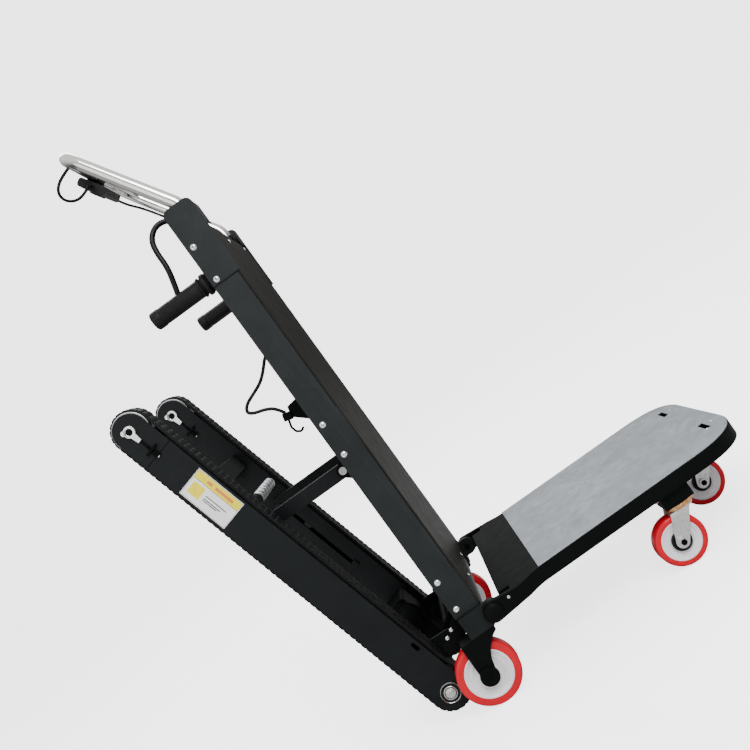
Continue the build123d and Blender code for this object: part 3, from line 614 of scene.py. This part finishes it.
cord("plug_cord", [
    (0.007, -0.100, 0.797), (-0.008, -0.100, 0.790), (-0.026, -0.099, 0.770), (-0.046, -0.098, 0.753),
    (-0.072, -0.097, 0.743), (-0.094, -0.097, 0.734), (-0.103, -0.098, 0.720), (-0.090, -0.099, 0.711),
    (-0.068, -0.100, 0.705), (-0.050, -0.100, 0.694), (-0.040, -0.100, 0.676)],
    0.007, "lower_cable")


# ---------------------------------------------------------------- mast

def button_head(radius, height):
    """Builder of a button head screw that stands up along Z, with a round socket recess."""
    def build(mesh):
        profile = [(0, -height * 0.1)]
        for angle in range(0, 61, 12):
            turn = math.radians(angle)
            profile.append((radius * math.cos(turn), height * math.sin(turn)))
        profile += [(radius * 0.44, height * 0.90), (radius * 0.40, height * 0.45), (0, height * 0.40)]
        add_turned(mesh, profile, (0, 0, 0), (0, 0, 1), 24)
    return template(build)


def mast_screws():
    """Button heads on both sides of the mast, small ones on its front cover and hinge covers."""
    large = button_head(0.0064, 0.0036)
    small = button_head(0.0042, 0.0018)
    finish = finishes["zinc_screws"]
    parts = []
    screw_x = 0.0205
    hinge_cover_face = 0.176
    rows = (((0.196, 0.257, 0.552, 0.619), mast_half), ((0.947, 1.018), cheek_face))
    for side in (-1, 1):
        turn = (-side * math.pi / 2, 0, 0)
        for heights, face in rows:
            spots = point_mesh([place(screw_x, side * face, height) for height in heights])
            parts.append(repeat("points", spots, large, finish, Turn=turn))
    front = [(0.075, 0.192), (-0.075, 0.192), (-0.031, 1.028), (0.167, 1.035)]
    spots = point_mesh([place(mast_front, y, z) for y, z in front])
    parts.append(repeat("points", spots, small, finish, Turn=(0, math.pi / 2, 0)))
    for side in (-1, 1):
        pair = ((-0.031, 0.147), (-0.016, 0.156))
        spots = point_mesh([place(x, side * hinge_cover_face, z) for x, z in pair])
        parts.append(repeat("points", spots, small, finish, Turn=(-side * math.pi / 2, 0, 0)))
    discard(large, small)
    return hand_over(joined("mast_button_screws", parts), "mast", "zinc_screws", "mast_screws")


def smooth_tube(mesh, points, radius, segments=32):
    """A round tube along (position, tangent) points from an upright start, closed at both ends."""
    across = Vector((0, -1, 0))
    rows = []
    for spot, tangent in points:
        across = (across - across.dot(tangent) * tangent).normalized()
        upward = tangent.cross(across)
        row = []
        for step in range(segments):
            angle = 2 * math.pi * step / segments
            row.append(mesh.verts.new(spot + radius * (across * math.cos(angle) + upward * math.sin(angle))))
        rows.append(row)
    for first, second in zip(rows, rows[1:]):
        for step in range(segments):
            after = (step + 1) % segments
            mesh.faces.new([first[step], first[after], second[after], second[step]])
    mesh.faces.new(list(reversed(rows[0])))
    mesh.faces.new(rows[-1])


def bent_path(corners, radii, steps=16):
    """(position, tangent) points along straight runs joined by round bends."""
    points = [(corners[0], (corners[1] - corners[0]).normalized())]
    for before, corner, after, radius in zip(corners, corners[1:], corners[2:], radii):
        first = (corner - before).normalized()
        second = (after - corner).normalized()
        turn = first.angle(second)
        reach = radius * math.tan(turn / 2)
        centre = corner - first * reach + (second - first * first.dot(second)).normalized() * radius
        axis = first.cross(second).normalized()
        start = corner - first * reach - centre
        for step in range(steps + 1):
            rotation = Matrix.Rotation(turn * step / steps, 3, axis)
            points.append((centre + rotation @ start, rotation @ first))
    points.append((corners[-1], (corners[-1] - corners[-2]).normalized()))
    return points


def push_handle():
    """Polished tube: two legs, the knees and the push bar."""
    low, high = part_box("push_handle")
    tube_radius = 0.0125
    half = high.y - tube_radius
    leg_x = high.x - tube_radius
    bar_x = low.x + tube_radius
    bar_z = high.z - tube_radius
    knee_z = 1.102
    corners = [Vector(corner) for corner in (
        (leg_x, -half, low.z), (leg_x, -half, knee_z), (bar_x, -half, bar_z),
        (bar_x, half, bar_z), (leg_x, half, knee_z), (leg_x, half, low.z))]
    mesh = bmesh.new()
    smooth_tube(mesh, bent_path(corners, (0.050, 0.048, 0.048, 0.050)), tube_radius, 48)
    piece = object_from(mesh, "push_handle_tube")
    return hand_over(piece, "mast", "stainless", "push_handle")


def hand_grips():
    """Rubber grips: double flange at the mast, ribbed sleeve and a plain end band."""
    low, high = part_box("hand_grips")
    height = (low.z + high.z) / 2
    length = high.x - low.x
    mesh = bmesh.new()
    radius = 0.0173
    end = [(0, 0), (0.0138, 0), (0.0164, 0.0008), (0.0178, 0.003), (0.0182, 0.006), (0.0182, 0.018),
           (0.0176, 0.0196), (radius - 0.0004, 0.0202), (radius, 0.022)]
    neck = [(radius + 0.0002, length - 0.019), (0.0190, length - 0.0182), (0.0202, length - 0.017),
            (0.0202, length - 0.0145), (0.0186, length - 0.0132), (0.0168, length - 0.0118),
            (0.0168, length - 0.0104), (0.0205, length - 0.0092), (0.0220, length - 0.0078),
            (0.0220, length - 0.0020), (0.0205, length), (0.0112, length), (0, length)]
    for side in (-1, 1):
        add_turned(mesh, end + neck, (low.x, side * grip_y, height), (1, 0, 0), 48)

    def rib(part):
        add_ring(part, [(radius - 0.0006, -0.0006), (radius + 0.0002, -0.0003), (radius + 0.0002, 0.0003),
                        (radius - 0.0006, 0.0006)], (0, 0, 0), (1, 0, 0), 40)
    ring = template(rib)
    sleeve = bpy.data.meshes.new("sleeves")
    mesh.to_mesh(sleeve)
    parts = [sleeve]
    ribs = 44
    first_rib = 0.026
    step = (length - 0.048) / (ribs - 1)
    for side in (-1, 1):
        parts.append(repeat("row", None, ring, finishes["grip_rubber"], Count=ribs,
                            First=(low.x + first_rib, side * grip_y, height), Step=(step, 0, 0),
                            Turn=(0, 0, 0)))
    discard(ring)
    piece = joined("ribbed_hand_grips", parts)
    return hand_over(piece, "mast", "grip_rubber", "hand_grips")


mast_screws()
push_handle()
hand_grips()
dressed("rocker_switch", "rocker_key", "switch", 0.0009)
dressed("side_rails", "mast_rails", "mast", 0.0011)
dressed("front_cover", "mast_front_cover", "mast", 0.0009)
dressed("cheek_plates", "mast_cheeks", "mast", 0.0008)
dressed("top_cap", "mast_top_cap", "mast", 0.0007)
dressed("rear_panel", "mast_rear_panel", "mast", 0.0006)
dressed("foot_blocks", "mast_feet", "mast", 0.0022)
dressed("wheel_forks", "main_wheel_forks", "mast", 0.0010)
dressed("control_box", "handle_control_box", "mast", 0.0008)
dressed("plug_bracket", "plug_socket_bracket", "mast", 0.0006)
dressed("strut_mount", "strut_ears", "mast", 0.0010)
dressed("track_pivot", "track_hinge", "mast", 0.0010)


# ---------------------------------------------------------------- wheels

def wheel_tyre(name, node_name, body, centre, radius, width, depth):
    """Cast red tread with round shoulders."""
    half = width / 2
    shoulder = 0.005
    inner = radius - depth
    outline = [(inner, -half + 0.0005)]
    outline += arc((radius - shoulder, -half + shoulder), shoulder, -90, 0, 6)
    outline.append((radius, 0))
    outline += arc((radius - shoulder, half - shoulder), shoulder, 0, 90, 6)
    outline.append((inner, half - 0.0005))
    mesh = bmesh.new()
    add_ring(mesh, outline, centre, (0, 1, 0), 96)
    return hand_over(object_from(mesh, name, 40), body, "wheel_red", node_name)


def wheel_hub(name, node_name, body, centre, radius, width, bore, boss):
    """Moulded hub: rim lip, dished web with two steps, and a boss round the bore."""
    half = width / 2
    face = [(boss, half + 0.0005), (boss + 0.0012, half - 0.001), (boss + 0.0020, half - 0.0046),
            (radius * 0.62, half - 0.0050), (radius * 0.64, half - 0.0036), (radius * 0.79, half - 0.0032),
            (radius * 0.81, half - 0.0022), (radius * 0.90, half - 0.0012), (radius * 0.93, half),
            (radius - 0.0003, half - 0.0003)]
    outline = [(bore, -half - 0.0005)] + [(r, -d) for r, d in face]
    outline += [(r, d) for r, d in reversed(face)] + [(bore, half + 0.0005)]
    mesh = bmesh.new()
    add_ring(mesh, outline, centre, (0, 1, 0), 80)
    return hand_over(object_from(mesh, name, 28), body, "wheel_white", node_name)


def bearing_covers(name, centre):
    """Black covers over the bearings on both faces of a caster's hub."""
    mesh = bmesh.new()
    for side in (-1, 1):
        add_ring(mesh, [(0.0062, 0.0096), (0.0186, 0.0096), (0.0198, 0.0106), (0.0200, 0.0140),
                        (0.0194, 0.0156), (0.0170, 0.0162), (0.0150, 0.0150), (0.0110, 0.0150),
                        (0.0096, 0.0164), (0.0062, 0.0164)], centre, (0, side, 0), 48)
    covers = object_from(mesh, f"caster_bearing_covers_{name}", 30)
    return hand_over(covers, f"caster_wheel_{name}", "black_plastic")


def axle_nuts(name, centre):
    """Dark lock nuts over the bright bolt heads of a caster's axle."""
    mesh = bmesh.new()
    for side in (-1, 1):
        add_turned(mesh, [(0, 0.0246), (0.0058, 0.0246), (0.0064, 0.0252), (0.0060, 0.0266),
                          (0.0034, 0.0270), (0.0030, 0.0260), (0, 0.0260)], centre, (0, side, 0), 6)
    return hand_over(object_from(mesh, f"caster_axle_nuts_{name}", 30), f"caster_{name}", "black_metal")


for side in ("near", "far"):
    hub_place = main_wheel_places[side]
    wheel_tyre(f"main_tread_{side}", f"main_tyre_{side}", f"main_wheel_{side}", hub_place,
               main_wheel_radius, tyre_width, 0.015)
    wheel_hub(f"main_wheel_hub_{side}", f"main_hub_{side}", f"main_wheel_{side}", hub_place,
              0.0475, hub_width, 0.0081, 0.0175)
for name in caster_names:
    hub_place = middle(f"caster_hub_{name}")
    wheel_tyre(f"caster_tread_{name}", f"caster_tyre_{name}", f"caster_wheel_{name}", hub_place,
               caster_radius, tyre_width, 0.011)
    wheel_hub(f"caster_wheel_hub_{name}", f"caster_hub_{name}", f"caster_wheel_{name}", hub_place,
              0.039, hub_width, 0.0061, 0.0118)
    dressed(f"caster_fork_{name}", f"caster_pressed_fork_{name}", f"caster_{name}", 0.0008)
    bearing_covers(name, hub_place)
    axle_nuts(name, hub_place)


# ---------------------------------------------------------------- load deck

def hinge_bosses():
    """Domed caps on the ends of the deck's hinge pins."""
    cap_radius, cap_height = 0.019, 0.009
    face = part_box("deck_pins")[1].y - cap_height
    mesh = bmesh.new()
    for side in (-1, 1):
        profile = [(0, -0.030), (0.0060, -0.030), (0.0060, -0.0005), (cap_radius - 0.0006, -0.0002),
                   (cap_radius, 0.0010)]
        for angle in range(10, 91, 10):
            turn = math.radians(angle)
            profile.append((cap_radius * math.cos(turn) if angle < 90 else 0, cap_height * math.sin(turn)))
        add_turned(mesh, profile, (deck_hinge.x, side * face, deck_hinge.z), (0, side, 0), 48)
    return hand_over(object_from(mesh, "deck_hinge_caps"), "deck", "black_metal", "deck_pins")


def deck_screws():
    """Small screws beside the strap slots and on the rim."""
    head = button_head(0.0030, 0.0009)
    finish = finishes["zinc_plate"]
    top = point_mesh([place(0.630, side * 0.112, deck_surface) for side in (-1, 1)])
    parts = [repeat("points", top, head, finish, Turn=(0, 0, 0))]
    rim_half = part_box("deck_frame")[1].y
    for side in (-1, 1):
        rim = point_mesh([place(0.114, side * rim_half, 0.168)])
        parts.append(repeat("points", rim, head, finish, Turn=(-side * math.pi / 2, 0, 0)))
    discard(head)
    return hand_over(joined("deck_small_screws", parts), "deck", "zinc_plate")


def caster_bolts():
    """Bolts that hold the casters' plates under the deck."""
    plate_thickness = 0.003
    plate_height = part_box("caster_plates")[1].z - plate_thickness
    head = button_head(0.0050, 0.0040)
    spots = []
    for name in caster_names:
        swivel = middle(f"caster_hub_{name}") + Vector((caster_trail, 0, 0))
        for across_x in (-0.0362, 0.0362):
            for across_y in (-0.026, 0.026):
                spots.append((swivel.x + across_x, swivel.y + across_y, plate_height))
    parts = [repeat("points", point_mesh(spots), head, finishes["zinc_screws"], Turn=(math.pi, 0, 0))]
    discard(head)
    return hand_over(joined("caster_plate_bolts", parts), "deck", "zinc_screws")


hinge_bosses()
deck_screws()
caster_bolts()
dressed("deck_frame", "deck_tray", "deck", 0.0022)
dressed("deck_plate", "deck_top_sheet", "deck", 0.0005)
dressed("caster_plates", "caster_top_plates", "deck", 0.0008)
dressed("caster_races", "caster_swivel_races", "deck", 0.0016)


# ---------------------------------------------------------------- crawler tracks

def stadium(radius, arc_steps, run_step):
    """Closed (forward, along) outline of the belt's run: down the front, round, up the back."""
    points = []
    runs = max(1, round(track_run / run_step))
    for step in range(runs):
        points.append((radius, track_run * (1 - step / runs)))
    points += arc((0, 0), radius, 0, -180, arc_steps)[:-1]
    for step in range(runs):
        points.append((-radius, track_run * step / runs))
    points += arc((0, track_run), radius, 180, 0, arc_steps)[:-1]
    return points


def belt_path(y):
    """Closed curve round the outside of the belt body, in the track's upright frame."""
    path = bpy.data.curves.new("run", "CURVE")
    path.dimensions = "3D"
    loop = stadium(belt_body_radius, 40, track_run)
    line = path.splines.new("POLY")
    line.points.add(len(loop) - 1)
    for point, (x, z) in zip(line.points, loop):
        point.co = (x, y, z, 1)
    line.use_cyclic_u = True
    return path


def belt_loops():
    """Endless belts with moulded cleats across the outside."""
    mesh = bmesh.new()
    outer = stadium(belt_body_radius, 28, 0.03)
    inner = stadium(belt_back_radius, 28, 0.03)
    for side in (-1, 1):
        low = side * belt_middle_y - belt_half_width
        high = side * belt_middle_y + belt_half_width
        section = []
        edges = ((outer, (low + 0.0008, high - 0.0008)), (inner, (high - 0.0004, low + 0.0004)))
        for loop, y_values in edges:
            for y in y_values:
                section.append([mesh.verts.new(on_track @ Vector((x, y, z))) for x, z in loop])
        count = len(outer)
        for row in range(4):
            here, beside = section[row], section[(row + 1) % 4]
            for point in range(count):
                after = (point + 1) % count
                mesh.faces.new([here[point], here[after], beside[after], beside[point]])
    body = bpy.data.meshes.new("belts")
    mesh.to_mesh(body)

    def cleat(part):
        """Cross bar with sloping sides and a cut-back middle, standing along Z."""
        height = belt_radius - belt_body_radius
        half = belt_half_width - 0.0004
        outline = [(-0.0054, -0.0008), (0.0054, -0.0008), (0.0054, 0.0), (0.0046, height * 0.75),
                   (0.0036, height), (-0.0036, height), (-0.0046, height * 0.75), (-0.0054, 0.0)]
        add_plate(part, outline, -half, -0.0012)
        add_plate(part, outline, 0.0012, half)
    bar = template(cleat)
    parts = [body]
    for side in (-1, 1):
        parts.append(repeat("path", belt_path(side * belt_middle_y), bar, finishes["belt_rubber"], on_track,
                            Count=cleat_count))
    discard(bar)
    piece = joined("cleated_belts", parts, 30)
    return hand_over(piece, "track_frame", "belt_rubber", "track_belts")


def belt_glint_tabs():
    """Small bright zinc tabs at the inner end of every cleat: a painted highlight that stands in for light
    glinting on the cleat ends.
    """
    def glint_tab(part):
        add_block(part, (-0.0016, -0.0010, -0.0002), (0.0016, 0.0010, 0.0007))
        bmesh.ops.bevel(part, geom=list(part.edges), offset=0.0003, segments=1, affect="EDGES")
    tab = template(glint_tab)
    parts = []
    for side in (-1, 1):
        # Painted highlight: a bright tab on every cleat end, where light glints along the belt's inner edge.
        edge_y = side * (belt_middle_y - belt_half_width + 0.0014)
        parts.append(repeat("path", belt_path(edge_y), tab, finishes["zinc_plate"], on_track,
                            Count=cleat_count))
    discard(tab)
    return hand_over(joined("belt_edge_clips", parts, 30), "track_frame", "zinc_plate")


def idler_wheels():
    """Flanged idler pulleys; the flange edge shows round the end of the side plates."""
    for side, name in ((-1, "near"), (1, "far")):
        mesh = bmesh.new()
        inner_face = 0.1269
        outer_face = 0.1753
        outline = [(0.0081, inner_face), (0.0364, inner_face), (0.0374, inner_face + 0.0008),
                   (0.0374, 0.1296), (0.0366, 0.1306), (0.0361, 0.1312), (0.0361, 0.1708),
                   (0.0366, 0.1714), (0.0374, 0.1724), (0.0374, outer_face - 0.0008),
                   (0.0364, outer_face), (0.0081, outer_face)]
        add_ring(mesh, outline, (0, 0, track_run), (0, side, 0), 80, on_track)
        piece = object_from(mesh, f"idler_pulley_{name}", 30)
        hand_over(piece, f"idler_{name}", "cast_aluminium", f"idler_{name}")


def tension_adjusters():
    """Bright eyes with dark threaded rods and nuts at both ends of both idler axles."""
    def nut(part):
        add_turned(part, [(0, -0.003), (0.0052, -0.003), (0.0058, -0.0024), (0.0058, 0.0024),
                          (0.0052, 0.003), (0, 0.003)], (0, 0, 0), (0, 0, 1), 6)

    def thread(part):
        add_ring(part, [(0.0016, -0.0005), (0.0023, 0), (0.0016, 0.0005)], (0, 0, 0), (0, 0, 1), 16)

    nut_part, thread_part = template(nut), template(thread)
    finish = finishes["black_metal"]
    depth = 0.007
    mesh = bmesh.new()
    dark = bmesh.new()
    middles = []
    for side in (-1, 1):
        for near_face, outward in ((plate_face_y, 1), (inner_plate_y, -1)):
            middle_y = side * (near_face + outward * depth / 2)
            middles.append(middle_y)
            y0, y1 = sorted((side * near_face, side * (near_face + outward * depth)))
            axis_centre = (0, middle_y, track_run)
            half = depth / 2
            eye = [(0.0070, -half + 0.0005), (0.0075, -half + 0.0002), (0.0112, -half),
                   (0.0120, -half + 0.0010), (0.0120, half - 0.0010), (0.0112, half - 0.0001),
                   (0.0075, half - 0.0003), (0.0070, half - 0.0006)]
            add_ring(mesh, eye, axis_centre, (0, 1, 0), 40, on_track)
            lobe = arc((-0.0095, track_run + 0.0065), 0.0052, 0, 330, 18)
            add_plate(mesh, lobe, y0 + 0.0012, y1 - 0.0012, on_track)
            add_plate(mesh, [(-0.0058, track_run - 0.0105), (-0.0040, track_run - 0.0262),
                             (0.0040, track_run - 0.0262), (0.0058, track_run - 0.0105)],
                      y0 + 0.0006, y1 - 0.0006, on_track)
            add_turned(dark, [(0, 0), (0.0017, 0), (0.0017, 0.047), (0, 0.047)],
                       (0, middle_y, track_run - 0.072), (0, 0, 1), 16, on_track)
            tip = [(0, -0.0012), (0.0026, -0.0012), (0.0032, -0.0006), (0.0032, 0.0030), (0, 0.0030)]
            add_turned(mesh, tip, (0, middle_y, track_run - 0.0716), (0, 0, 1), 20, on_track)
    for side in (-1, 1):
        low_y, high_y = inner_plate_y - depth, plate_face_y + depth
        add_turned(dark, [(0, low_y), (0.0062, low_y), (0.0068, low_y + 0.0006), (0.0068, high_y - 0.0006),
                          (0.0062, high_y), (0, high_y)], (0, 0, track_run), (0, side, 0), 32, on_track)
    solid = bpy.data.meshes.new("rods")
    dark.to_mesh(solid)
    parts = [solid]
    for middle_y in middles:
        parts.append(repeat("row", None, thread_part, finish, on_track, Count=27,
                            First=(0, middle_y, track_run - 0.071), Step=(0, 0, 0.0011), Turn=(0, 0, 0)))
        parts.append(repeat("row", None, nut_part, finish, on_track, Count=2,
                            First=(0, middle_y, track_run - 0.068), Step=(0, 0, 0.0062), Turn=(0, 0, 0)))
    discard(nut_part, thread_part)
    hand_over(joined("adjuster_rods_and_axles", parts, 30), "track_frame", "black_metal")
    eyes = object_from(mesh, "belt_tension_adjusters", 30)
    return hand_over(eyes, "track_frame", "zinc_screws", "tension_adjusters")


def drive_bearings():
    """Bearing flanges on the side plates: outer race, dark seal and inner race."""
    outer_tail, inner_tail, depth = 0.176, 0.126, 0.008
    mesh = bmesh.new()
    seals = bmesh.new()
    for side in (-1, 1):
        for face, tail in ((outer_tail + depth, outer_tail), (inner_tail - depth, inner_tail)):
            y_face, y_tail = side * face, side * tail
            axis = (0, math.copysign(1, y_face - y_tail), 0)
            length = abs(face - tail)
            outer = [(0.0190, 0.0041), (0.0200, 0.0041), (0.0203, 0.0050), (0.0201, length - 0.0016),
                     (0.0196, length - 0.0010), (0.0191, length - 0.0014)]
            add_ring(mesh, outer, (0, y_tail, 0), axis, 64, on_track)
            inner = [(0.0116, 0.0005), (0.0134, 0.0005), (0.0134, length - 0.0006), (0.0128, length - 0.0001),
                     (0.0120, length - 0.0002), (0.0116, length - 0.0008)]
            add_ring(mesh, inner, (0, y_tail, 0), axis, 64, on_track)
            seal = [(0.0135, 0.0010), (0.0179, 0.0010), (0.0179, 0.0042), (0.0189, 0.0042),
                    (0.0189, length - 0.0022), (0.0165, length - 0.0026), (0.0142, length - 0.0026),
                    (0.0135, length - 0.0034)]
            collar = [(0.0101, 0.0005), (0.0115, 0.0005), (0.0115, length - 0.0012),
                      (0.0101, length - 0.0012)]
            add_ring(seals, collar, (0, y_tail, 0), axis, 64, on_track)
            add_ring(seals, seal, (0, y_tail, 0), axis, 64, on_track)
    hand_over(object_from(mesh, "drive_bearing_races", 30), "track_frame", "zinc_plate", "drive_bearings")
    hand_over(object_from(seals, "drive_bearing_seals", 30), "track_frame", "black_plastic")


def tie_shaft():
    """Tie shaft with a ribbed light sleeve and a plain dark sleeve beside it."""
    forward, centre_s = 0.023, 0.518
    mesh = bmesh.new()
    add_turned(mesh, [(0, -0.122), (0.008, -0.122), (0.008, -0.0742), (0.0104, -0.074), (0.011, -0.0732),
                      (0.011, 0.1152), (0.0104, 0.116), (0.008, 0.1162), (0.008, 0.122), (0, 0.122)],
               (forward, 0, centre_s), (0, 1, 0), 40, on_track)
    core = bpy.data.meshes.new("core")
    mesh.to_mesh(core)

    def rib(part):
        outline = [(0.0105, -0.0084)]
        for angle in range(-80, 81, 20):
            turn = math.radians(angle)
            outline.append((0.0112 + 0.0024 * math.cos(turn), 0.0080 * math.sin(turn)))
        outline.append((0.0105, 0.0084))
        add_ring(part, outline, (0, 0, 0), (0, 1, 0), 40)
    ring = template(rib)
    ribs = repeat("row", None, ring, finishes["cast_aluminium"], on_track, Count=7,
                  First=(forward, -0.066, centre_s), Step=(0, 0.028, 0), Turn=(0, 0, 0))
    discard(ring)
    piece = joined("ribbed_tie_shaft", [core, ribs], 25)
    hand_over(piece, "track_frame", "cast_aluminium", "ribbed_shaft")
    sleeve = bmesh.new()
    add_ring(sleeve, [(0.0081, -0.1218), (0.0142, -0.1218), (0.015, -0.1210), (0.015, -0.0768),
                      (0.0142, -0.076), (0.0081, -0.076)], (forward, 0, centre_s), (0, 1, 0), 40, on_track)
    hand_over(object_from(sleeve, "tie_shaft_sleeve", 30), "track_frame", "black_metal")


def motor_fins():
    """Cooling fins round the drive motor."""
    def fin(part):
        add_ring(part, [(0.0318, -0.0012), (0.0342, -0.0008), (0.0342, 0.0008), (0.0318, 0.0012)],
                 (0, 0, 0), (0, 1, 0), 48)
    ring = template(fin)
    fins = repeat("row", None, ring, finishes["black_metal"], on_track, Count=13,
                  First=(0.004, -0.062, 0.104), Step=(0, 0.006, 0), Turn=(0, 0, 0))
    discard(ring)
    return hand_over(joined("motor_cooling_fins", [fins]), "track_frame", "black_metal")


def side_label():
    """Plain adhesive panel on the near track: white field, yellow band, border and blank bars."""
    face = -plate_face_y
    centre_s, centre_x = 0.5868, -0.0002
    half_length, half_width = 0.0545, 0.0305
    film = 0.0003
    lift = 0.0002

    def panel(mesh, x0, x1, s0, s1, layer, material_index):
        known = len(mesh.faces)
        low = (centre_x + x0, face - film - lift * layer, centre_s + s0)
        high = (centre_x + x1, face - lift * max(0, layer - 1), centre_s + s1)
        add_block(mesh, low, high, on_track)
        mesh.faces.ensure_lookup_table()
        for face_number in range(known, len(mesh.faces)):
            mesh.faces[face_number].material_index = material_index
    mesh = bmesh.new()
    rim = 0.0022
    margin, line = 0.001, 0.0006
    edge_x, edge_s = half_width - margin, half_length - margin
    borders = [
        (-edge_x, -edge_x + line, -edge_s, edge_s),
        (edge_x - line, edge_x, -edge_s, edge_s),
        (-edge_x, edge_x, -edge_s, -edge_s + line),
        (-edge_x, edge_x, edge_s - line, edge_s),
        (0.0112, 0.0120, -half_length + rim, half_length - rim)]
    panel(mesh, -half_width, half_width, -half_length, half_length, 0, 0)
    panel(mesh, 0.0120, half_width - rim, -half_length + rim, half_length - rim, 1, 1)
    for x0, x1, s0, s1 in borders:
        panel(mesh, x0, x1, s0, s1, 1, 2)
    panel(mesh, -0.0190, 0.0060, 0.0190, 0.0460, 1, 1)
    for x, length in ((-0.0030, 0.050), (-0.0092, 0.040), (-0.0128, 0.034)):
        panel(mesh, x - 0.0012, x + 0.0006, 0.0120 - length, 0.0120, 1, 2)
    for s0, s1 in ((0.0140, 0.0260), (-0.0360, 0.0060)):
        panel(mesh, 0.0170, 0.0226, s0, s1, 2, 3)
    piece = object_from(mesh, "blank_side_label")
    for film_material in (label_white, label_yellow, label_ink, label_accent):
        piece.data.materials.append(film_material)
    return hand_over(piece, "track_frame", "wheel_white")


belt_loops()
belt_glint_tabs()
idler_wheels()
tension_adjusters()
drive_bearings()
tie_shaft()
motor_fins()
side_label()
dressed("track_outer_plates", "crawler_outer_plates", "track_frame", 0.0010)
dressed("track_end_covers", "crawler_end_covers", "track_frame", 0.0010)
dressed("track_inner_plates", "crawler_inner_plates", "track_frame", 0.0010)
dressed("adjuster_brackets", "adjuster_lugs", "track_frame", 0.0006)
dressed("cross_tube", "track_cross_tube", "track_frame", 0.0016)
dressed("gearbox", "drive_gearbox", "track_frame", 0.0012)
dressed("drive_motor", "drive_motor_body", "track_frame", 0.0014)
dressed("drive_shaft", "drive_shaft_and_sprockets", "drive", 0.0006)
dressed("strut_arms", "strut_links", "strut", 0.0010)
dressed("slider_blocks", "slot_sliders", "slider", 0.0008)


# ---------------------------------------------------------------- parts of the frame that show as drawn

for node_name, node in nodes.items():
    if not node.hide_render:
        node.data.materials.clear()
        node.data.materials.append(finishes[slot_of[node_name]])


# ---------------------------------------------------------------- stage, light and camera

def seen_directly(tree):
    """One where the camera looks straight at a surface, nought in light and reflections."""
    return tree.nodes.new("ShaderNodeLightPath").outputs["Is Camera Ray"]


def stage():
    """Pale paper floor and an even white surround with a darker horizon in reflections."""
    size = 14.0
    paper_glow = 2.6
    surround_glow = 3.4
    mesh = bmesh.new()
    bmesh.ops.create_grid(mesh, x_segments=1, y_segments=1, size=size)
    floor = object_from(mesh, "floor")
    paper = Finish("floor_paper", 0.9, Specular_IOR_Level=0.1)
    set_inputs(paper.shader, Emission_Color=colour((1, 1, 1)))
    paper.paint(paper.blend(seen_directly(paper.tree), (0.50, 0.50, 0.50), (0.92, 0.92, 0.92)))
    glow = add_node(paper.tree, "ShaderNodeMath", operation="MULTIPLY")
    glow.inputs[1].default_value = paper_glow
    paper.tree.links.new(seen_directly(paper.tree), glow.inputs[0])
    paper.tree.links.new(glow.outputs["Value"], paper.shader.inputs["Emission Strength"])
    floor.data.materials.append(paper.material)

    world = bpy.data.worlds.new("studio")
    world.use_nodes = True
    tree = world.node_tree
    link = tree.links.new
    background = tree.nodes["Background"]
    surround = add_node(tree, "ShaderNodeBackground")
    set_inputs(surround, Strength=surround_glow, Color=colour((1, 1, 1)))
    either = tree.nodes.new("ShaderNodeMixShader")
    direction = tree.nodes.new("ShaderNodeTexCoord")
    height = tree.nodes.new("ShaderNodeSeparateXYZ")
    share = add_node(tree, "ShaderNodeMapRange")
    set_inputs(share, From_Min=-1.0, From_Max=1.0)
    shade = tree.nodes.new("ShaderNodeValToRGB")
    stops = ((0.0, 0.36), (0.46, 0.16), (0.56, 0.08), (0.68, 0.66), (0.86, 1.12))
    while len(shade.color_ramp.elements) < len(stops):
        shade.color_ramp.elements.new(0.5)
    for element, (position, value) in zip(shade.color_ramp.elements, stops):
        element.position = position
        element.color = (value, value, value, 1)
    link(direction.outputs["Generated"], height.inputs["Vector"])
    link(height.outputs["Z"], share.inputs["Value"])
    link(share.outputs["Result"], shade.inputs["Fac"])
    link(shade.outputs["Color"], background.inputs["Color"])
    link(seen_directly(tree), either.inputs["Fac"])
    link(background.outputs["Background"], either.inputs[1])
    link(surround.outputs["Background"], either.inputs[2])
    link(either.outputs["Shader"], tree.nodes["World Output"].inputs["Surface"])
    bpy.context.scene.world = world


def soft_light(name, spot, aim, size, power):
    """A large square light that faces a point."""
    light = bpy.data.lights.new(name, "AREA")
    light.shape = "SQUARE"
    light.size = size
    light.energy = power
    lamp = bpy.data.objects.new(name, light)
    lamp.location = spot
    lamp.rotation_mode = "QUATERNION"
    lamp.rotation_quaternion = (Vector(aim) - Vector(spot)).to_track_quat("-Z", "Y")
    bpy.context.scene.collection.objects.link(lamp)


def camera():
    """Camera beside the near track, rolled so that the mast leans back."""
    right = Vector((0.8113, 0.0092, -0.5845))
    upward = Vector((0.5835, 0.0495, 0.8106))
    back = right.cross(upward).normalized()
    upward = back.cross(right).normalized()
    turn = Matrix((right.normalized(), upward, back)).transposed().to_4x4()
    data = bpy.data.cameras.new("camera")
    data.sensor_width = 36.0
    data.lens = 37.85
    lens = bpy.data.objects.new("camera", data)
    lens.matrix_world = Matrix.Translation(place(0.2046, -1.655, 0.6875)) @ turn
    bpy.context.scene.collection.objects.link(lens)
    bpy.context.scene.camera = lens


stage()
target = (0, 0, 0.6)
soft_light("key", (0.9, -2.2, 2.4), target, 1.4, 75)
soft_light("fill", (-1.8, -2.4, 1.0), target, 2.2, 25)
soft_light("back", (-0.4, 1.8, 2.8), target, 1.6, 45)
camera()
